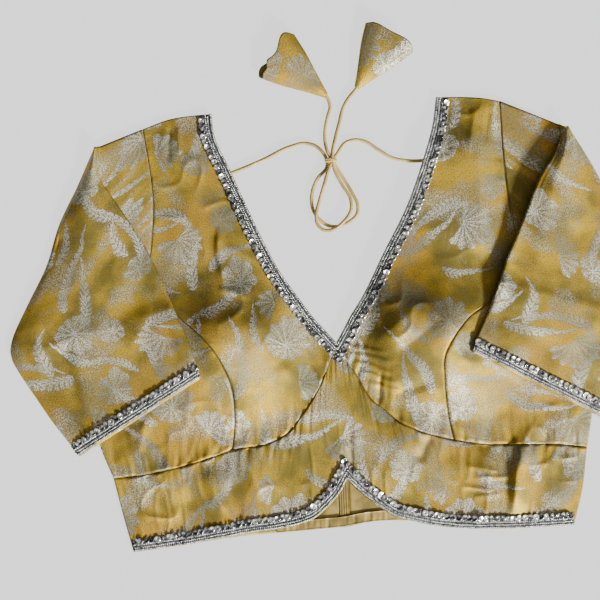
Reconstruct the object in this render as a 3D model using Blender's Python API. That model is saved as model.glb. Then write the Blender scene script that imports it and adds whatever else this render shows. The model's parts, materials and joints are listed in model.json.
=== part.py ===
"""Choli blouse with elbow sleeves, laid flat with its front up.

Every piece is one that is cut and sewn on: front panels, midriff band, backs, placket, sleeves, sequin
trims, and the two tie cords with their fabric tassels. Outlines are in millimetres in the garment's own
frame, with X across the body and Y from hem to shoulder, from a point on the centre line near the hem.
Left is the side of -X. The object is centred on the middle of the cloth, with the floor at z = 0.
"""

import math

import bpy
import numpy as np

MM = 0.001
CENTRE = (-3.4, 121.3)  # middle of the cloth in the outlines' frame

# Cloth, seams and layers.
CLOTH = 1.2
SEAM = 0.2  # each edge at a seam steps back by this
REST = 3.3  # underside of the front over the floor
EDGE = 1.6  # the same where front and back are sewn together
EDGE_REACH = 24.0  # how far in from a seam the front has risen to REST
TRIM_WIDTH = 13.0
TRIM_WALL = 1.0
TRIM_GAP = 0.4

# Edges of the front, shoulder to hem.
NECK = {
    "left": [(-97, 310), (-96, 293), (-84, 260), (-72, 228), (-61, 200), (-47, 169), (-31, 143),
             (-20, 126), (-11, 115), (-3, 105)],
    "right": [(98, 311), (93, 287), (83, 259), (67, 221), (42, 178), (20, 140), (10, 126), (4, 116),
              (-3, 105)],
}
SHOULDER = {
    "left": [(-97, 310), (-110, 310), (-134, 308), (-158, 301)],
    "right": [(98, 311), (118, 310), (136, 308), (153, 304)],
}
ARMHOLE_UPPER = {
    "left": [(-158, 301), (-154, 261), (-153, 239), (-156, 209), (-159, 191), (-168, 166)],
    "right": [(153, 304), (153, 286), (153, 259), (154, 230), (156, 210), (160, 190), (165, 168)],
}
ARMHOLE_LOWER = {
    "left": [(-168, 166), (-178, 152), (-193, 139), (-208, 129), (-225, 122)],
    "right": [(165, 168), (172, 154), (183, 141), (204, 125), (230, 113)],
}
PRINCESS = {
    "left": [(-168, 166), (-150, 149), (-136, 135), (-118, 118), (-103, 95), (-96, 73), (-95, 48), (-99, 18)],
    "right": [(165, 168), (147, 145), (132, 131), (112, 119), (97, 103), (89, 88), (88, 66), (89, 42), (93, 13)],
}
CUP_SEAM = {
    "left": [(-3, 105), (-9, 91), (-17, 73), (-26, 58), (-38, 43), (-48, 31), (-63, 23), (-99, 18)],
    "right": [(-3, 105), (5, 89), (12, 76), (18, 63), (24, 53), (32, 46), (47, 32), (66, 22), (93, 13)],
}
WAIST = {
    "left": [(-99, 18), (-120, 12), (-153, 5), (-173, 2), (-204, 0)],
    "right": [(93, 13), (117, 8), (159, 5), (183, 3), (208, -1)],
}
SIDE = {
    "left": [(-225, 122), (-219, 74), (-214, 30), (-204, 0)],
    "right": [(230, 113), (222, 70), (215, 30), (208, -1)],
}
LOW_SIDE = {
    "left": [(-204, 0), (-197, -37), (-191, -65)],
    "right": [(208, -1), (201, -39), (192, -68)],
}
HEM = {
    "left": [(-2, -15), (-9, -26), (-20, -37), (-32, -46), (-44, -50), (-62, -53), (-90, -55), (-141, -61),
             (-191, -65)],
    "right": [(-2, -15), (10, -28), (23, -39), (36, -49), (50, -54), (71, -60), (104, -65), (137, -67),
              (192, -68)],
}

# Edges of the back that the front doesn't share.
BACK_NECK = {
    "left": [(-97, 310), (-102, 288), (-92, 254), (-80, 222), (-69, 194), (-56, 163), (-41, 132), (-27, 103),
             (-14, 80), (-7, 66)],
    "right": [(98, 311), (101, 288), (91, 257), (75, 219), (52, 178), (35, 145), (25, 120), (16, 98), (8, 79),
              (1, 66)],
}
CENTRE_BACK = [(-3, 66), (-4.5, 5), (-6, -56)]
BACK_HEM = {
    "left": [(-6, -56), (-46, -57), (-89, -58), (-140, -62), (-191, -66)],
    "right": [(-6, -56), (9, -54), (37, -53.5), (71, -58), (104, -63), (192, -68.5)],
}
PLACKET_WIDTH = 7.6
FACING_WIDTH = 9.0
FACING_WALL = 0.8
FACING_REACH = {"left": -66, "right": 52}

# Padded cups: centre, height over the rest of the front, and how far each spreads.
CUP_COLUMNS = ("x", "y", "height", "reach_x", "reach_y")
CUPS = [
    (-98, 106, 15, 84, 80),
    (96, 101, 15, 84, 80),
]

# Largest folds in the front: two ends of the crest, height, and half width.
FOLD_COLUMNS = ("x0", "y0", "x1", "y1", "height", "width")
FOLDS = [
    (153, 10, 140, -48, 5.0, 13),
    (118, 2, 128, -40, 2.5, 10),
    (-120, -2, -104, -50, 2.5, 12),
    (-90, 14, -72, -34, 2.0, 12),
    (-184, 30, -170, 4, 2.2, 9),
    (60, 28, 30, -22, 1.8, 14),
]

# A sleeve is one sheet. Each row is a section from its armhole seam: 0 to 1 runs down the armhole and 1
# to 2 down the seam under the arm. The first layer runs "tuck" outwards, turns back under the front fold,
# and turns again over it to the outer fold and the layer on the floor. Puff lifts the top layer.
SLEEVE_COLUMNS = ("seam", "tuck", "fold_x", "fold_y", "outer_x", "outer_y", "puff")
SLEEVE_ROWS = {
    "left": [
        (0.00, 39.0, -197.0, 288.3, -201.5, 286.8, 0.0),
        (0.13, 47.0, -197.5, 261, -218, 255, 0.6),
        (0.26, 55.0, -185, 238, -236, 223, 1.2),
        (0.40, 56.0, -170, 212, -250, 187, 1.8),
        (0.54, 54.0, -158, 188, -269, 154, 2.4),
        (0.67, 46.0, -150, 167, -283, 128, 2.6),
        (0.80, 31.0, -145.5, 155, -286, 117, 2.8),
        (0.90, 17.0, -143, 149, -285.5, 112, 2.8),
        (1.00, 2.0, -141, 143, -284, 106, 2.8),
        (1.20, 0.0, -137, 132, -279, 96, 2.8),
        (1.45, 0.0, -132, 119, -268, 77, 2.6),
        (1.65, 0.0, -128.6, 107, -254.5, 54, 2.4),
        (1.86, 0.0, -125.2, 94.6, -239.5, 31.8, 2.2),
        (1.93, 0.0, -123.6, 88.3, -235.8, 26.4, 2.0),
        (2.00, 0.0, -122, 82, -232, 21, 1.8),
    ],
    "right": [
        (0.00, 54.0, 207.4, 277.6, 212, 275.6, 0.0),
        (0.16, 57.0, 197, 255, 228, 246, 0.6),
        (0.27, 61.0, 182, 234, 242, 215, 1.2),
        (0.43, 62.0, 168, 205, 257, 178, 1.8),
        (0.55, 57.0, 158, 184.5, 268, 146, 2.4),
        (0.66, 50.0, 148, 165.5, 276, 120, 2.6),
        (0.79, 33.0, 144, 155.5, 278.5, 106, 2.8),
        (0.90, 17.0, 142, 151, 278.5, 100, 2.8),
        (1.00, 2.0, 140, 146, 277, 93, 2.8),
        (1.20, 0.0, 136, 137, 273, 82, 2.8),
        (1.45, 0.0, 130, 124, 264, 66, 2.6),
        (1.65, 0.0, 123.5, 112, 251.5, 47.5, 2.4),
        (1.86, 0.0, 117.2, 99.9, 237.6, 29.5, 2.2),
        (1.93, 0.0, 115.1, 93.9, 233.8, 24.2, 2.0),
        (2.00, 0.0, 113, 88, 230, 19, 1.8),
    ],
}
UNDERARM_SEAM = {
    "left": [(-229, 121), (-231, 104), (-224, 87), (-208, 67), (-189, 45)],
    "right": [(234, 111), (236, 95), (229, 80), (210, 64), (184, 46)],
}
SLEEVE_SEAM = 0.9  # from the armhole to the edge of the sleeve
SLEEVE_GAP = 0.8  # between the sleeve and what it lies on
UNDERARM_LIFT = 1.6  # extra height where the seam climbs over the side of the body
UNDERARM_PULL = 4.0
CLIMB = (14.0, 2.0)  # the lowest layer rises to the body between these distances outside it
FRONT_TURN = 1.1
OUTER_TURN = 1.2
PLEAT_POINTS = 13
TURN_POINTS = 3
TOP_POINTS = 9
FLOOR_POINTS = 7

# Tie cords, lying on the floor inside the neckline: x, y and height of the middle of the cord.
CORD = 2.6
CORD_STEP = 7.6
FLOOR_CORD = CORD / 2
OVER_CORD = 1.5 * CORD + 0.5
KNOT = {"x": 3.4, "y": 263.2, "z": 3.7, "rx": 5.6, "ry": 5.2, "rz": 3.6}
CORDS = {
    "dori_lead_left": [(-91.6, 255.6, FLOOR_CORD), (-83, 258, FLOOR_CORD), (-56, 267, FLOOR_CORD),
                       (-31, 277, FLOOR_CORD), (-18, 279, FLOOR_CORD), (-9, 276, FLOOR_CORD),
                       (-2.6, 269, 2.2)],
    "dori_lead_right": [(90.4, 257.6, FLOOR_CORD), (82, 257, FLOOR_CORD), (68, 258, FLOOR_CORD),
                        (57, 261, FLOOR_CORD), (45, 269, FLOOR_CORD), (34, 277, FLOOR_CORD),
                        (26, 279, FLOOR_CORD), (17, 277, FLOOR_CORD), (9.6, 268.6, 2.2)],
    "dori_loop_left": [(-0.6, 257.0, 1.9), (-9, 248, FLOOR_CORD), (-15, 235, FLOOR_CORD),
                       (-15, 221, FLOOR_CORD), (-10, 212, FLOOR_CORD), (-2, 206, FLOOR_CORD),
                       (6, 205, FLOOR_CORD), (15, 208, FLOOR_CORD), (23, 215, FLOOR_CORD),
                       (24, 222, FLOOR_CORD), (20, 233, FLOOR_CORD), (14, 245, FLOOR_CORD),
                       (7.6, 256.8, 1.9)],
    "dori_loop_right": [(2.0, 257.2, 4.8), (-3.5, 243, OVER_CORD), (-9, 228, OVER_CORD),
                        (-12.5, 217, OVER_CORD), (-12, 208, OVER_CORD), (-8, 203, OVER_CORD),
                        (-1, 202, OVER_CORD), (10, 208, OVER_CORD), (18, 219, OVER_CORD),
                        (18, 228, OVER_CORD), (12, 240, OVER_CORD), (5.3, 257.0, 4.8)],
    "dori_tail_left": [(1.2, 269.6, 3.4), (-0.4, 278, FLOOR_CORD), (0, 288, FLOOR_CORD),
                       (3, 300, FLOOR_CORD), (6, 310, 1.6), (3.9, 317.6, 2.0)],
    "dori_tail_right": [(5.2, 269.6, 3.4), (8, 280, FLOOR_CORD), (13, 295, FLOOR_CORD),
                        (17, 307, FLOOR_CORD), (22, 315, 1.6), (29.5, 322.9, 2.0)],
}

# Tassels: flattened open cones of brocade, tip to mouth.
TASSEL_COLUMNS = ("along", "half_width", "half_height")
TASSEL_SECTIONS = [(0.0, 2.4, 1.9), (0.14, 5.4, 3.2), (0.4, 11.5, 4.4), (0.7, 18.5, 5.4), (1.0, 24.0, 6.0)]
TASSELS = {
    "left": {"tip": (3.2, 319.0), "mouth": (-39.5, 358.5)},
    "right": {"tip": (30.2, 323.9), "mouth": (61.0, 364.5)},
}
TASSEL_SIDES = 16
MOUTH_WAVE = 3.0

COLOURS = {
    "brocade": (0.56, 0.40, 0.13, 0.55, 0.25),
    "lining": (0.42, 0.30, 0.10, 0.75, 0.0),
    "sequins": (0.55, 0.56, 0.56, 0.30, 0.85),
    "cord": (0.68, 0.52, 0.24, 0.60, 0.10),
}


def smooth(points, count):
    """Count points, evenly spaced, on a smooth curve through these ones."""
    p = np.array(points, float)
    t = np.concatenate([[0.0], np.cumsum(np.linalg.norm(np.diff(p, axis=0), axis=1))])
    slope = np.gradient(p, t, axis=0)
    fine = np.linspace(0, t[-1], 24 * len(p))
    k = np.clip(np.searchsorted(t, fine, side="right") - 1, 0, len(p) - 2)
    h = (t[k + 1] - t[k])[:, None]
    u = ((fine - t[k]) / h[:, 0])[:, None]
    curve = ((1 + 2 * u) * (1 - u) ** 2 * p[k] + u * (1 - u) ** 2 * h * slope[k]
             + u * u * (3 - 2 * u) * p[k + 1] + u * u * (u - 1) * h * slope[k + 1])
    return spread(curve, np.linspace(0, 1, count))


def spread(curve, fractions):
    """Points at these fractions of the length of a polyline."""
    gone = np.concatenate([[0.0], np.cumsum(np.linalg.norm(np.diff(curve, axis=0), axis=1))])
    at = np.asarray(fractions) * gone[-1]
    return np.stack([np.interp(at, gone, column) for column in curve.T], axis=-1)


def join(*curves):
    """Curves end to end, with the shared points kept once."""
    return np.concatenate([curves[0]] + [curve[1:] for curve in curves[1:]])


def ease(x):
    x = np.clip(x, 0.0, 1.0)
    return x * x * (3 - 2 * x)


def sides():
    return ("left", "right")


def body_outline():
    """The body without its neckline: down the left side, along the hem and up the right side."""
    def down(side):
        return join(smooth(SHOULDER[side], 9), smooth(ARMHOLE_UPPER[side], 21), smooth(ARMHOLE_LOWER[side], 13),
                    smooth(SIDE[side], 13), smooth(LOW_SIDE[side], 9))

    return np.concatenate([down("left"), down("right")[::-1]])


def inside_distance(outline, skip_from, x, y):
    """Distance in from the outline, negative outside. Its edge number skip_from, the hem, doesn't count."""
    shape = np.shape(x)
    q = np.stack([np.ravel(x), np.ravel(y)], axis=-1)
    nearest = np.full(len(q), np.inf)
    inside = np.zeros(len(q), bool)
    for i in range(len(outline)):
        a, b = outline[i], outline[(i + 1) % len(outline)]
        crosses = (a[1] > q[:, 1]) != (b[1] > q[:, 1])
        if a[1] != b[1]:
            at = a[0] + (q[:, 1] - a[1]) * (b[0] - a[0]) / (b[1] - a[1])
            inside ^= crosses & (q[:, 0] < at)
        if i in (skip_from, len(outline) - 1):
            continue
        along = np.clip((q - a) @ (b - a) / ((b - a) @ (b - a)), 0, 1)
        nearest = np.minimum(nearest, np.linalg.norm(q - a - along[:, None] * (b - a), axis=1))
    return np.where(inside, nearest, -nearest).reshape(shape)


OUTLINE = body_outline()
HEM_EDGE = len(OUTLINE) // 2 - 1


def front_height(x, y):
    """Underside of the front: low at the seams, level inside, with the cups and the largest folds on it."""
    z = EDGE + (REST - EDGE) * ease(inside_distance(OUTLINE, HEM_EDGE, x, y) / EDGE_REACH)
    for cup_x, cup_y, height, reach_x, reach_y in CUPS:
        r2 = ((x - cup_x) / reach_x) ** 2 + ((y - cup_y) / reach_y) ** 2
        z = z + height * np.clip(1 - r2, 0, 1) ** 2 * fade_to_seams(x, y)
    for x0, y0, x1, y1, height, width in FOLDS:
        length = math.hypot(x1 - x0, y1 - y0)
        along = ((x - x0) * (x1 - x0) + (y - y0) * (y1 - y0)) / length
        across = ((x - x0) * (y1 - y0) - (y - y0) * (x1 - x0)) / length
        run = ease((along + 14) / 28) * ease((length + 14 - along) / 28)
        z = z + height * run * np.exp(-((across / width) ** 2)) * fade_to_seams(x, y)
    return z


def fade_to_seams(x, y):
    """1 well inside the body and 0 at its side seams, armholes and shoulders."""
    return ease(inside_distance(OUTLINE, HEM_EDGE, x, y) / (1.4 * EDGE_REACH))


def patch(top, bottom, first, last):
    """A surface through four edges: top and bottom blended down, first and last blended across."""
    t = np.linspace(0, 1, len(first))[:, None, None]
    s = np.linspace(0, 1, len(top))[None, :, None]
    corners = ((1 - s) * (1 - t) * top[0] + s * (1 - t) * top[-1]
               + (1 - s) * t * bottom[0] + s * t * bottom[-1])
    return (1 - t) * top[None] + t * bottom[None] + (1 - s) * first[:, None] + s * last[:, None] - corners


def bordered(grid, width, count):
    """The grid's rows sampled again, so that columns 1 and 2 lie half of width and width in from column 0,
    with count columns after those."""
    rows = []
    edge = np.gradient(grid[:, 0], axis=0)
    for i, row in enumerate(grid):
        gone = np.concatenate([[0.0], np.cumsum(np.linalg.norm(np.diff(row, axis=0), axis=1))])
        step = row[1] - row[0]
        across = abs(step[0] * edge[i, 1] - step[1] * edge[i, 0])
        across /= np.linalg.norm(step) * np.linalg.norm(edge[i])
        reach = width / max(across, 0.62)
        marks = np.concatenate([[0, reach / 2], np.linspace(reach, gone[-1], count + 1)])
        rows.append(np.stack([np.interp(marks, gone, column) for column in row.T], axis=-1))
    return np.array(rows)


def inset(grid):
    """The grid with its four edges stepped in by SEAM, towards the next row or column."""
    g = grid.copy()
    for edge, inner in ((g[0], g[1]), (g[-1], g[-2]), (g[:, 0], g[:, 1]), (g[:, -1], g[:, -2])):
        step = inner - edge
        edge += step * (SEAM / np.linalg.norm(step, axis=-1))[..., None]
    return g


def at_height(grid, z):
    """Flat points lifted to z, a number or one for each point."""
    return np.concatenate([grid, np.broadcast_to(z, grid.shape[:2])[..., None]], axis=-1)


def material(name):
    made = bpy.data.materials.get(name) or bpy.data.materials.new(name)
    red, green, blue, rough, metal = COLOURS[name]
    made.use_nodes = True
    surface = made.node_tree.nodes["Principled BSDF"]
    surface.inputs["Base Color"].default_value = (red, green, blue, 1)
    surface.inputs["Roughness"].default_value = rough
    surface.inputs["Metallic"].default_value = metal
    return made


def add_mesh(name, points, faces, finish):
    """A closed solid. It is turned inside out where its volume comes out negative."""
    points = (np.asarray(points) - (*CENTRE, 0)) * MM
    corners = [(f[0], f[k], f[k + 1]) for f in faces for k in range(1, len(f) - 1)]
    if np.linalg.det(points[np.array(corners)]).sum() < 0:
        faces = [face[::-1] for face in faces]
    mesh = bpy.data.meshes.new(name)
    mesh.from_pydata([tuple(p) for p in points], [], [tuple(int(i) for i in face) for face in faces])
    mesh.materials.append(material(finish))
    mesh.shade_smooth()
    mesh.set_sharp_from_angle(angle=math.radians(50))
    obj = bpy.data.objects.new(name, mesh)
    bpy.context.scene.collection.objects.link(obj)
    return obj


def add_wall(name, low, high, finish):
    """A wall between two grids of the same shape, closed round its four edges."""
    rows, columns = low.shape[:2]
    number = np.arange(rows * columns).reshape(rows, columns)
    quads = np.stack([number[:-1, :-1], number[:-1, 1:], number[1:, 1:], number[1:, :-1]], axis=-1)
    quads = quads.reshape(-1, 4)
    rim = np.concatenate([number[0, :-1], number[:-1, -1], number[-1, :0:-1], number[:0:-1, 0]])
    after = np.roll(rim, -1)
    total = rows * columns
    walls = np.stack([rim, rim + total, after + total, after], axis=-1)
    faces = np.concatenate([quads[:, ::-1], quads + total, walls[:, ::-1]])
    points = np.concatenate([low.reshape(-1, 3), high.reshape(-1, 3)])
    return add_mesh(name, points, faces.tolist(), finish)


def add_sheet(name, grid, under, wall, finish):
    """A wall of cloth whose underside is at the heights given by under."""
    low = at_height(grid, under)
    return add_wall(name, low, low + (0, 0, wall), finish)


def bust_grid(side):
    """Shoulder to cup seam in rows, neckline to armhole and princess seam in columns."""
    outer = join(smooth(ARMHOLE_UPPER[side], 9), smooth(PRINCESS[side], 10))
    grid = patch(smooth(SHOULDER[side], 41), smooth(CUP_SEAM[side], 41), smooth(NECK[side], len(outer)), outer)
    return bordered(grid, TRIM_WIDTH, 6)


def side_grid(side):
    """Armhole to waist seam in rows, princess seam to side seam in columns."""
    return patch(smooth(ARMHOLE_LOWER[side], 8), smooth(WAIST[side], 8), smooth(PRINCESS[side], 10),
                 smooth(SIDE[side], 10))


def midriff_half(side):
    """Centre to side in rows, hem to waist in columns."""
    top = join(bust_grid(side)[-1], smooth(WAIST[side], 8))
    hem = spread(smooth(HEM[side], 200), np.linspace(0, 1, len(top)) ** 0.94)
    centre = smooth([HEM[side][0], CUP_SEAM[side][0]], 41)
    grid = patch(centre, smooth(LOW_SIDE[side][::-1], 41), hem, top)
    return bordered(grid, TRIM_WIDTH, 4)


def front_panels():
    for side in sides():
        bust = bust_grid(side)
        under = front_height(bust[..., 0], bust[..., 1])
        stepped = inset(bust)
        add_sheet(f"front_bust_{side}", stepped, under, CLOTH, "brocade")
        add_sheet(f"neck_trim_{side}", stepped[:, :3], under[:, :3] + CLOTH + TRIM_GAP, TRIM_WALL, "sequins")
        panel = side_grid(side)
        add_sheet(f"front_side_{side}", inset(panel), front_height(panel[..., 0], panel[..., 1]), CLOTH,
                  "brocade")
    halves = {side: midriff_half(side) for side in sides()}
    midriff = np.concatenate([halves["left"][:0:-1], halves["right"]])
    under = front_height(midriff[..., 0], midriff[..., 1])
    stepped = inset(midriff)
    add_sheet("front_midriff", stepped, under, CLOTH, "brocade")
    over = under + CLOTH + TRIM_GAP
    middle = len(halves["left"]) - 1
    for side, rows in (("left", slice(0, middle + 1)), ("right", slice(middle, None))):
        strip = stepped[rows, :3].copy()
        away = -1 if side == "left" else 1
        strip[-1 if side == "left" else 0, :, 0] += away * SEAM
        add_sheet(f"hem_trim_{side}", strip, over[rows, :3], TRIM_WALL, "sequins")


def back_panels():
    for side in sides():
        away = -1 if side == "left" else 1
        centre = smooth(CENTRE_BACK, 9) + (away * (PLACKET_WIDTH / 2 + SEAM), 0)
        inner = join(smooth(BACK_NECK[side][:-1] + [tuple(centre[0])], 15), centre)
        outer = join(smooth(ARMHOLE_UPPER[side], 9), smooth(ARMHOLE_LOWER[side], 8), smooth(SIDE[side], 5),
                     smooth(LOW_SIDE[side], 4))
        hem = smooth([tuple(centre[-1])] + BACK_HEM[side][1:], 6)
        grid = patch(smooth(SHOULDER[side], 6), hem, inner, outer)
        add_sheet(f"back_{side}", inset(grid), 0.0, CLOTH, "lining")
    across = np.array([-0.5, 0.5])[None, :, None] * (PLACKET_WIDTH, 0)
    grid = smooth(CENTRE_BACK, 9)[:, None] + across
    add_sheet("back_placket", inset(grid), 0.0, CLOTH + 0.3, "lining")
    hem = join(smooth(BACK_HEM["left"], 60)[::-1], smooth(BACK_HEM["right"], 60))
    shown = (hem[:, 0] > FACING_REACH["left"]) & (hem[:, 0] < FACING_REACH["right"])
    low_edge = spread(hem[shown], np.linspace(0, 1, 13)) + (0, 0.5)
    grid = low_edge[:, None] + np.array([0.0, 0.5, 1.0])[None, :, None] * (0, FACING_WIDTH)
    add_sheet("back_hem_facing", grid, CLOTH + 0.7, FACING_WALL, "lining")


def unit(v):
    return v / np.linalg.norm(v)


def lowest_layer(x, y):
    """Middle of a layer that lies on the floor, or on the front where the body is under it."""
    far, near = CLIMB
    over = ease((inside_distance(OUTLINE, HEM_EDGE, x, y) + far) / (far - near))
    return CLOTH / 2 + over * (front_height(x, y) + CLOTH + SLEEVE_GAP)


def underarm(seam):
    """1 at the underarm point, 0 well above and below it."""
    return ease((seam - 0.8) / 0.2) * ease((1.5 - seam) / 0.5)


def half_turn(centre, outward, low, high, upward):
    """A half circle from one layer to the next, bulging outward."""
    radius = (high - low) / 2
    angle = np.linspace(0, math.pi, TURN_POINTS + 2)[1:-1]
    if not upward:
        angle = angle[::-1]
    flat = centre + outward * (radius * np.sin(angle))[:, None]
    return np.column_stack([flat, low + radius * (1 - np.cos(angle))])


def line(start, end, count):
    return start + np.linspace(0, 1, count)[:, None] * (end - start)


def sleeve_section(armhole, seam_line, row):
    """One section of a sleeve, from its front armhole seam round to its back one."""
    seam, tuck, fold_x, fold_y, outer_x, outer_y, puff = row
    fold, outer = np.array([fold_x, fold_y]), np.array([outer_x, outer_y])
    out = unit(outer - fold)
    lift = UNDERARM_LIFT * underarm(seam)
    if seam <= 1:
        start = spread(armhole, [seam])[0] + SLEEVE_SEAM * out
        floor_end = start + UNDERARM_PULL * underarm(seam) * out
    else:
        start = spread(seam_line, [seam - 1])[0]
        floor_end = start + 0.45 * out
    turn = fold + FRONT_TURN * out
    tucked = start + tuck * unit(outer - start)

    back = line(tucked, turn, 40)
    if seam <= 1:
        near = np.exp(-np.linalg.norm(back - tucked, axis=1) / 30)
        heights = front_height(back[:, 0], back[:, 1]) + 1.5 * CLOTH + SLEEVE_GAP + lift * near
        first = CLOTH * 1.5 + 0.5 + lift
        pleat = np.concatenate([
            np.column_stack([line(start, tucked, 40), np.full(40, first)]),
            half_turn(tucked, unit(outer - start), first, heights[0], True),
            np.column_stack([back, heights]),
        ])
    else:
        heights = lowest_layer(back[:, 0], back[:, 1]) + lift * np.exp(-np.arange(40) / 8.0)
        pleat = np.column_stack([back, heights])
    pleat = spread(pleat, np.linspace(0, 1, PLEAT_POINTS))

    rise = pleat[-1, 2] + 2 * FRONT_TURN
    front_turn = half_turn(turn, -out, pleat[-1, 2], rise, True)
    outer_centre = outer - (OUTER_TURN + CLOTH / 2) * out
    top = line(turn, outer_centre, TOP_POINTS)
    down = np.linalg.norm(top - turn, axis=1)
    whole = down[-1]
    if seam <= 1:
        covered = np.linalg.norm(tucked - turn)
        beyond = ease((down - covered) / max(whole - covered, 1.0))
        under = front_height(top[:, 0], top[:, 1]) + 1.5 * CLOTH + SLEEVE_GAP + lift
        under = under * (1 - beyond) + CLOTH / 2 * beyond
    else:
        under = lowest_layer(top[:, 0], top[:, 1]) + lift * (1 - down / whole)
    spacing = 2 * FRONT_TURN + (2 * OUTER_TURN - 2 * FRONT_TURN) * down / whole
    crown = puff * np.clip(np.sin(math.pi * down / whole), 0, 1) ** 0.7
    over = np.column_stack([top, under + spacing + crown])
    over[0, 2] = rise
    over[-1, 2] = CLOTH / 2 + 2 * OUTER_TURN

    floor = line(outer_centre, floor_end, FLOOR_POINTS)
    if seam <= 1:
        left = np.linalg.norm(floor - floor_end, axis=1)
        ground = CLOTH / 2 + lift * np.exp(-((left / 9) ** 2))
    else:
        ground = lowest_layer(floor[:, 0], floor[:, 1]) + lift * 0.4
    ground[0] = CLOTH / 2
    outer_turn = half_turn(outer_centre, out, CLOTH / 2, over[-1, 2], False)
    return np.concatenate([pleat, front_turn, over, outer_turn, np.column_stack([floor, ground])])


def sleeve_surface(side):
    armhole = join(smooth(ARMHOLE_UPPER[side], 60), smooth(ARMHOLE_LOWER[side], 60))
    seam_line = smooth(UNDERARM_SEAM[side], 60)
    return np.array([sleeve_section(armhole, seam_line, row) for row in SLEEVE_ROWS[side]])


def surface_normals(grid):
    along, across = np.gradient(grid, axis=1), np.gradient(grid, axis=0)
    normal = np.cross(along, across)
    return normal / np.linalg.norm(normal, axis=-1, keepdims=True)


def sleeves():
    for side in sides():
        middle = sleeve_surface(side)
        out = surface_normals(middle)
        top_column = PLEAT_POINTS + TURN_POINTS + TOP_POINTS // 2
        if out[-3, top_column, 2] < 0:
            out = -out
        add_wall(f"sleeve_{side}", middle - CLOTH / 2 * out, middle + CLOTH / 2 * out, "brocade")
        shown = slice(PLEAT_POINTS + TURN_POINTS - 1, PLEAT_POINTS + TURN_POINTS + TOP_POINTS + 1)
        strip = middle[-3:, shown] + (CLOTH / 2 + TRIM_GAP) * out[-3:, shown]
        add_wall(f"sleeve_trim_{side}", strip, strip + TRIM_WALL * out[-3:, shown], "sequins")


def cords():
    for name, route in CORDS.items():
        length = np.linalg.norm(np.diff(smooth(route, 200), axis=0), axis=1).sum()
        points = (smooth(route, max(6, round(length / CORD_STEP) + 1)) - (*CENTRE, 0)) * MM
        curve = bpy.data.curves.new(name, "CURVE")
        curve.dimensions = "3D"
        curve.bevel_depth = CORD / 2 * MM
        curve.bevel_resolution = 2
        curve.use_fill_caps = True
        spline = curve.splines.new("POLY")
        spline.points.add(len(points) - 1)
        for place, point in zip(spline.points, points):
            place.co = (*point, 1)
        curve.materials.append(material("cord"))
        bpy.context.scene.collection.objects.link(bpy.data.objects.new(name, curve))


def knot():
    """A small flattened ball that stands for the two wraps of the tied cords."""
    turn = np.linspace(0, 2 * math.pi, 12, endpoint=False)
    rise = np.linspace(-math.pi / 2, math.pi / 2, 8)[1:-1]
    rings = np.stack([
        KNOT["x"] + KNOT["rx"] * np.cos(rise)[:, None] * np.cos(turn),
        KNOT["y"] + KNOT["ry"] * np.cos(rise)[:, None] * np.sin(turn),
        KNOT["z"] + KNOT["rz"] * np.sin(rise)[:, None] * np.ones(len(turn)),
    ], axis=-1)
    poles = [(KNOT["x"], KNOT["y"], KNOT["z"] - KNOT["rz"]), (KNOT["x"], KNOT["y"], KNOT["z"] + KNOT["rz"])]
    points = np.concatenate([rings.reshape(-1, 3), poles])
    count = len(turn)
    faces = []
    for k in range(count):
        nxt = (k + 1) % count
        faces.append([len(points) - 2, nxt, k])
        faces.append([len(points) - 1, (len(rise) - 1) * count + k, (len(rise) - 1) * count + nxt])
        for i in range(len(rise) - 1):
            faces.append([i * count + k, i * count + nxt, (i + 1) * count + nxt, (i + 1) * count + k])
    add_mesh("dori_knot", points, faces, "cord")


def tassel(side):
    """An open cone: rings that widen from the tip to a wavy mouth, with a wall of cloth."""
    tip, mouth = (np.array(TASSELS[side][end]) for end in ("tip", "mouth"))
    axis = unit(mouth - tip)
    across = np.array([-axis[1], axis[0]])
    turn = np.linspace(0, 2 * math.pi, TASSEL_SIDES, endpoint=False)

    def rings(wall):
        shells = []
        for along, half_width, half_height in TASSEL_SECTIONS:
            reach = np.linalg.norm(mouth - tip) * max(along, 0.03 * (wall > 0))
            wave = MOUTH_WAVE * along ** 3 * np.sin(3 * turn + 0.6)
            centre = tip + axis * (reach + wave)[:, None]
            flat = centre + across * ((half_width - wall) * np.cos(turn))[:, None]
            shells.append(np.column_stack([flat, half_height + (half_height - wall) * np.sin(turn)]))
        return np.array(shells)

    outside, within = rings(0.0), rings(CLOTH)
    sections = len(TASSEL_SECTIONS)
    total = sections * TASSEL_SIDES
    points = np.concatenate([outside.reshape(-1, 3), within.reshape(-1, 3)])
    faces = [list(range(TASSEL_SIDES))[::-1], list(range(total, total + TASSEL_SIDES))]
    for k in range(TASSEL_SIDES):
        nxt = (k + 1) % TASSEL_SIDES
        for i in range(sections - 1):
            ring, after = i * TASSEL_SIDES, (i + 1) * TASSEL_SIDES
            faces.append([ring + k, ring + nxt, after + nxt, after + k])
            faces.append([total + after + k, total + after + nxt, total + ring + nxt, total + ring + k])
        last = (sections - 1) * TASSEL_SIDES
        faces.append([last + k, last + nxt, total + last + nxt, total + last + k])
    add_mesh(f"tassel_{side}", points, faces, "brocade")


def main():
    for obj in list(bpy.data.objects):
        bpy.data.objects.remove(obj, do_unlink=True)
    front_panels()
    back_panels()
    sleeves()
    cords()
    knot()
    for side in sides():
        tassel(side)


main()
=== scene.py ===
"""Choli blouse laid flat: the looks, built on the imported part.

Laid out as a Blender add-on, and run as a script.
"""

import json
import math

import bpy
import numpy as np
from bpy.props import FloatProperty, FloatVectorProperty, IntProperty, PointerProperty
from mathutils import Matrix, Vector

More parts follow.
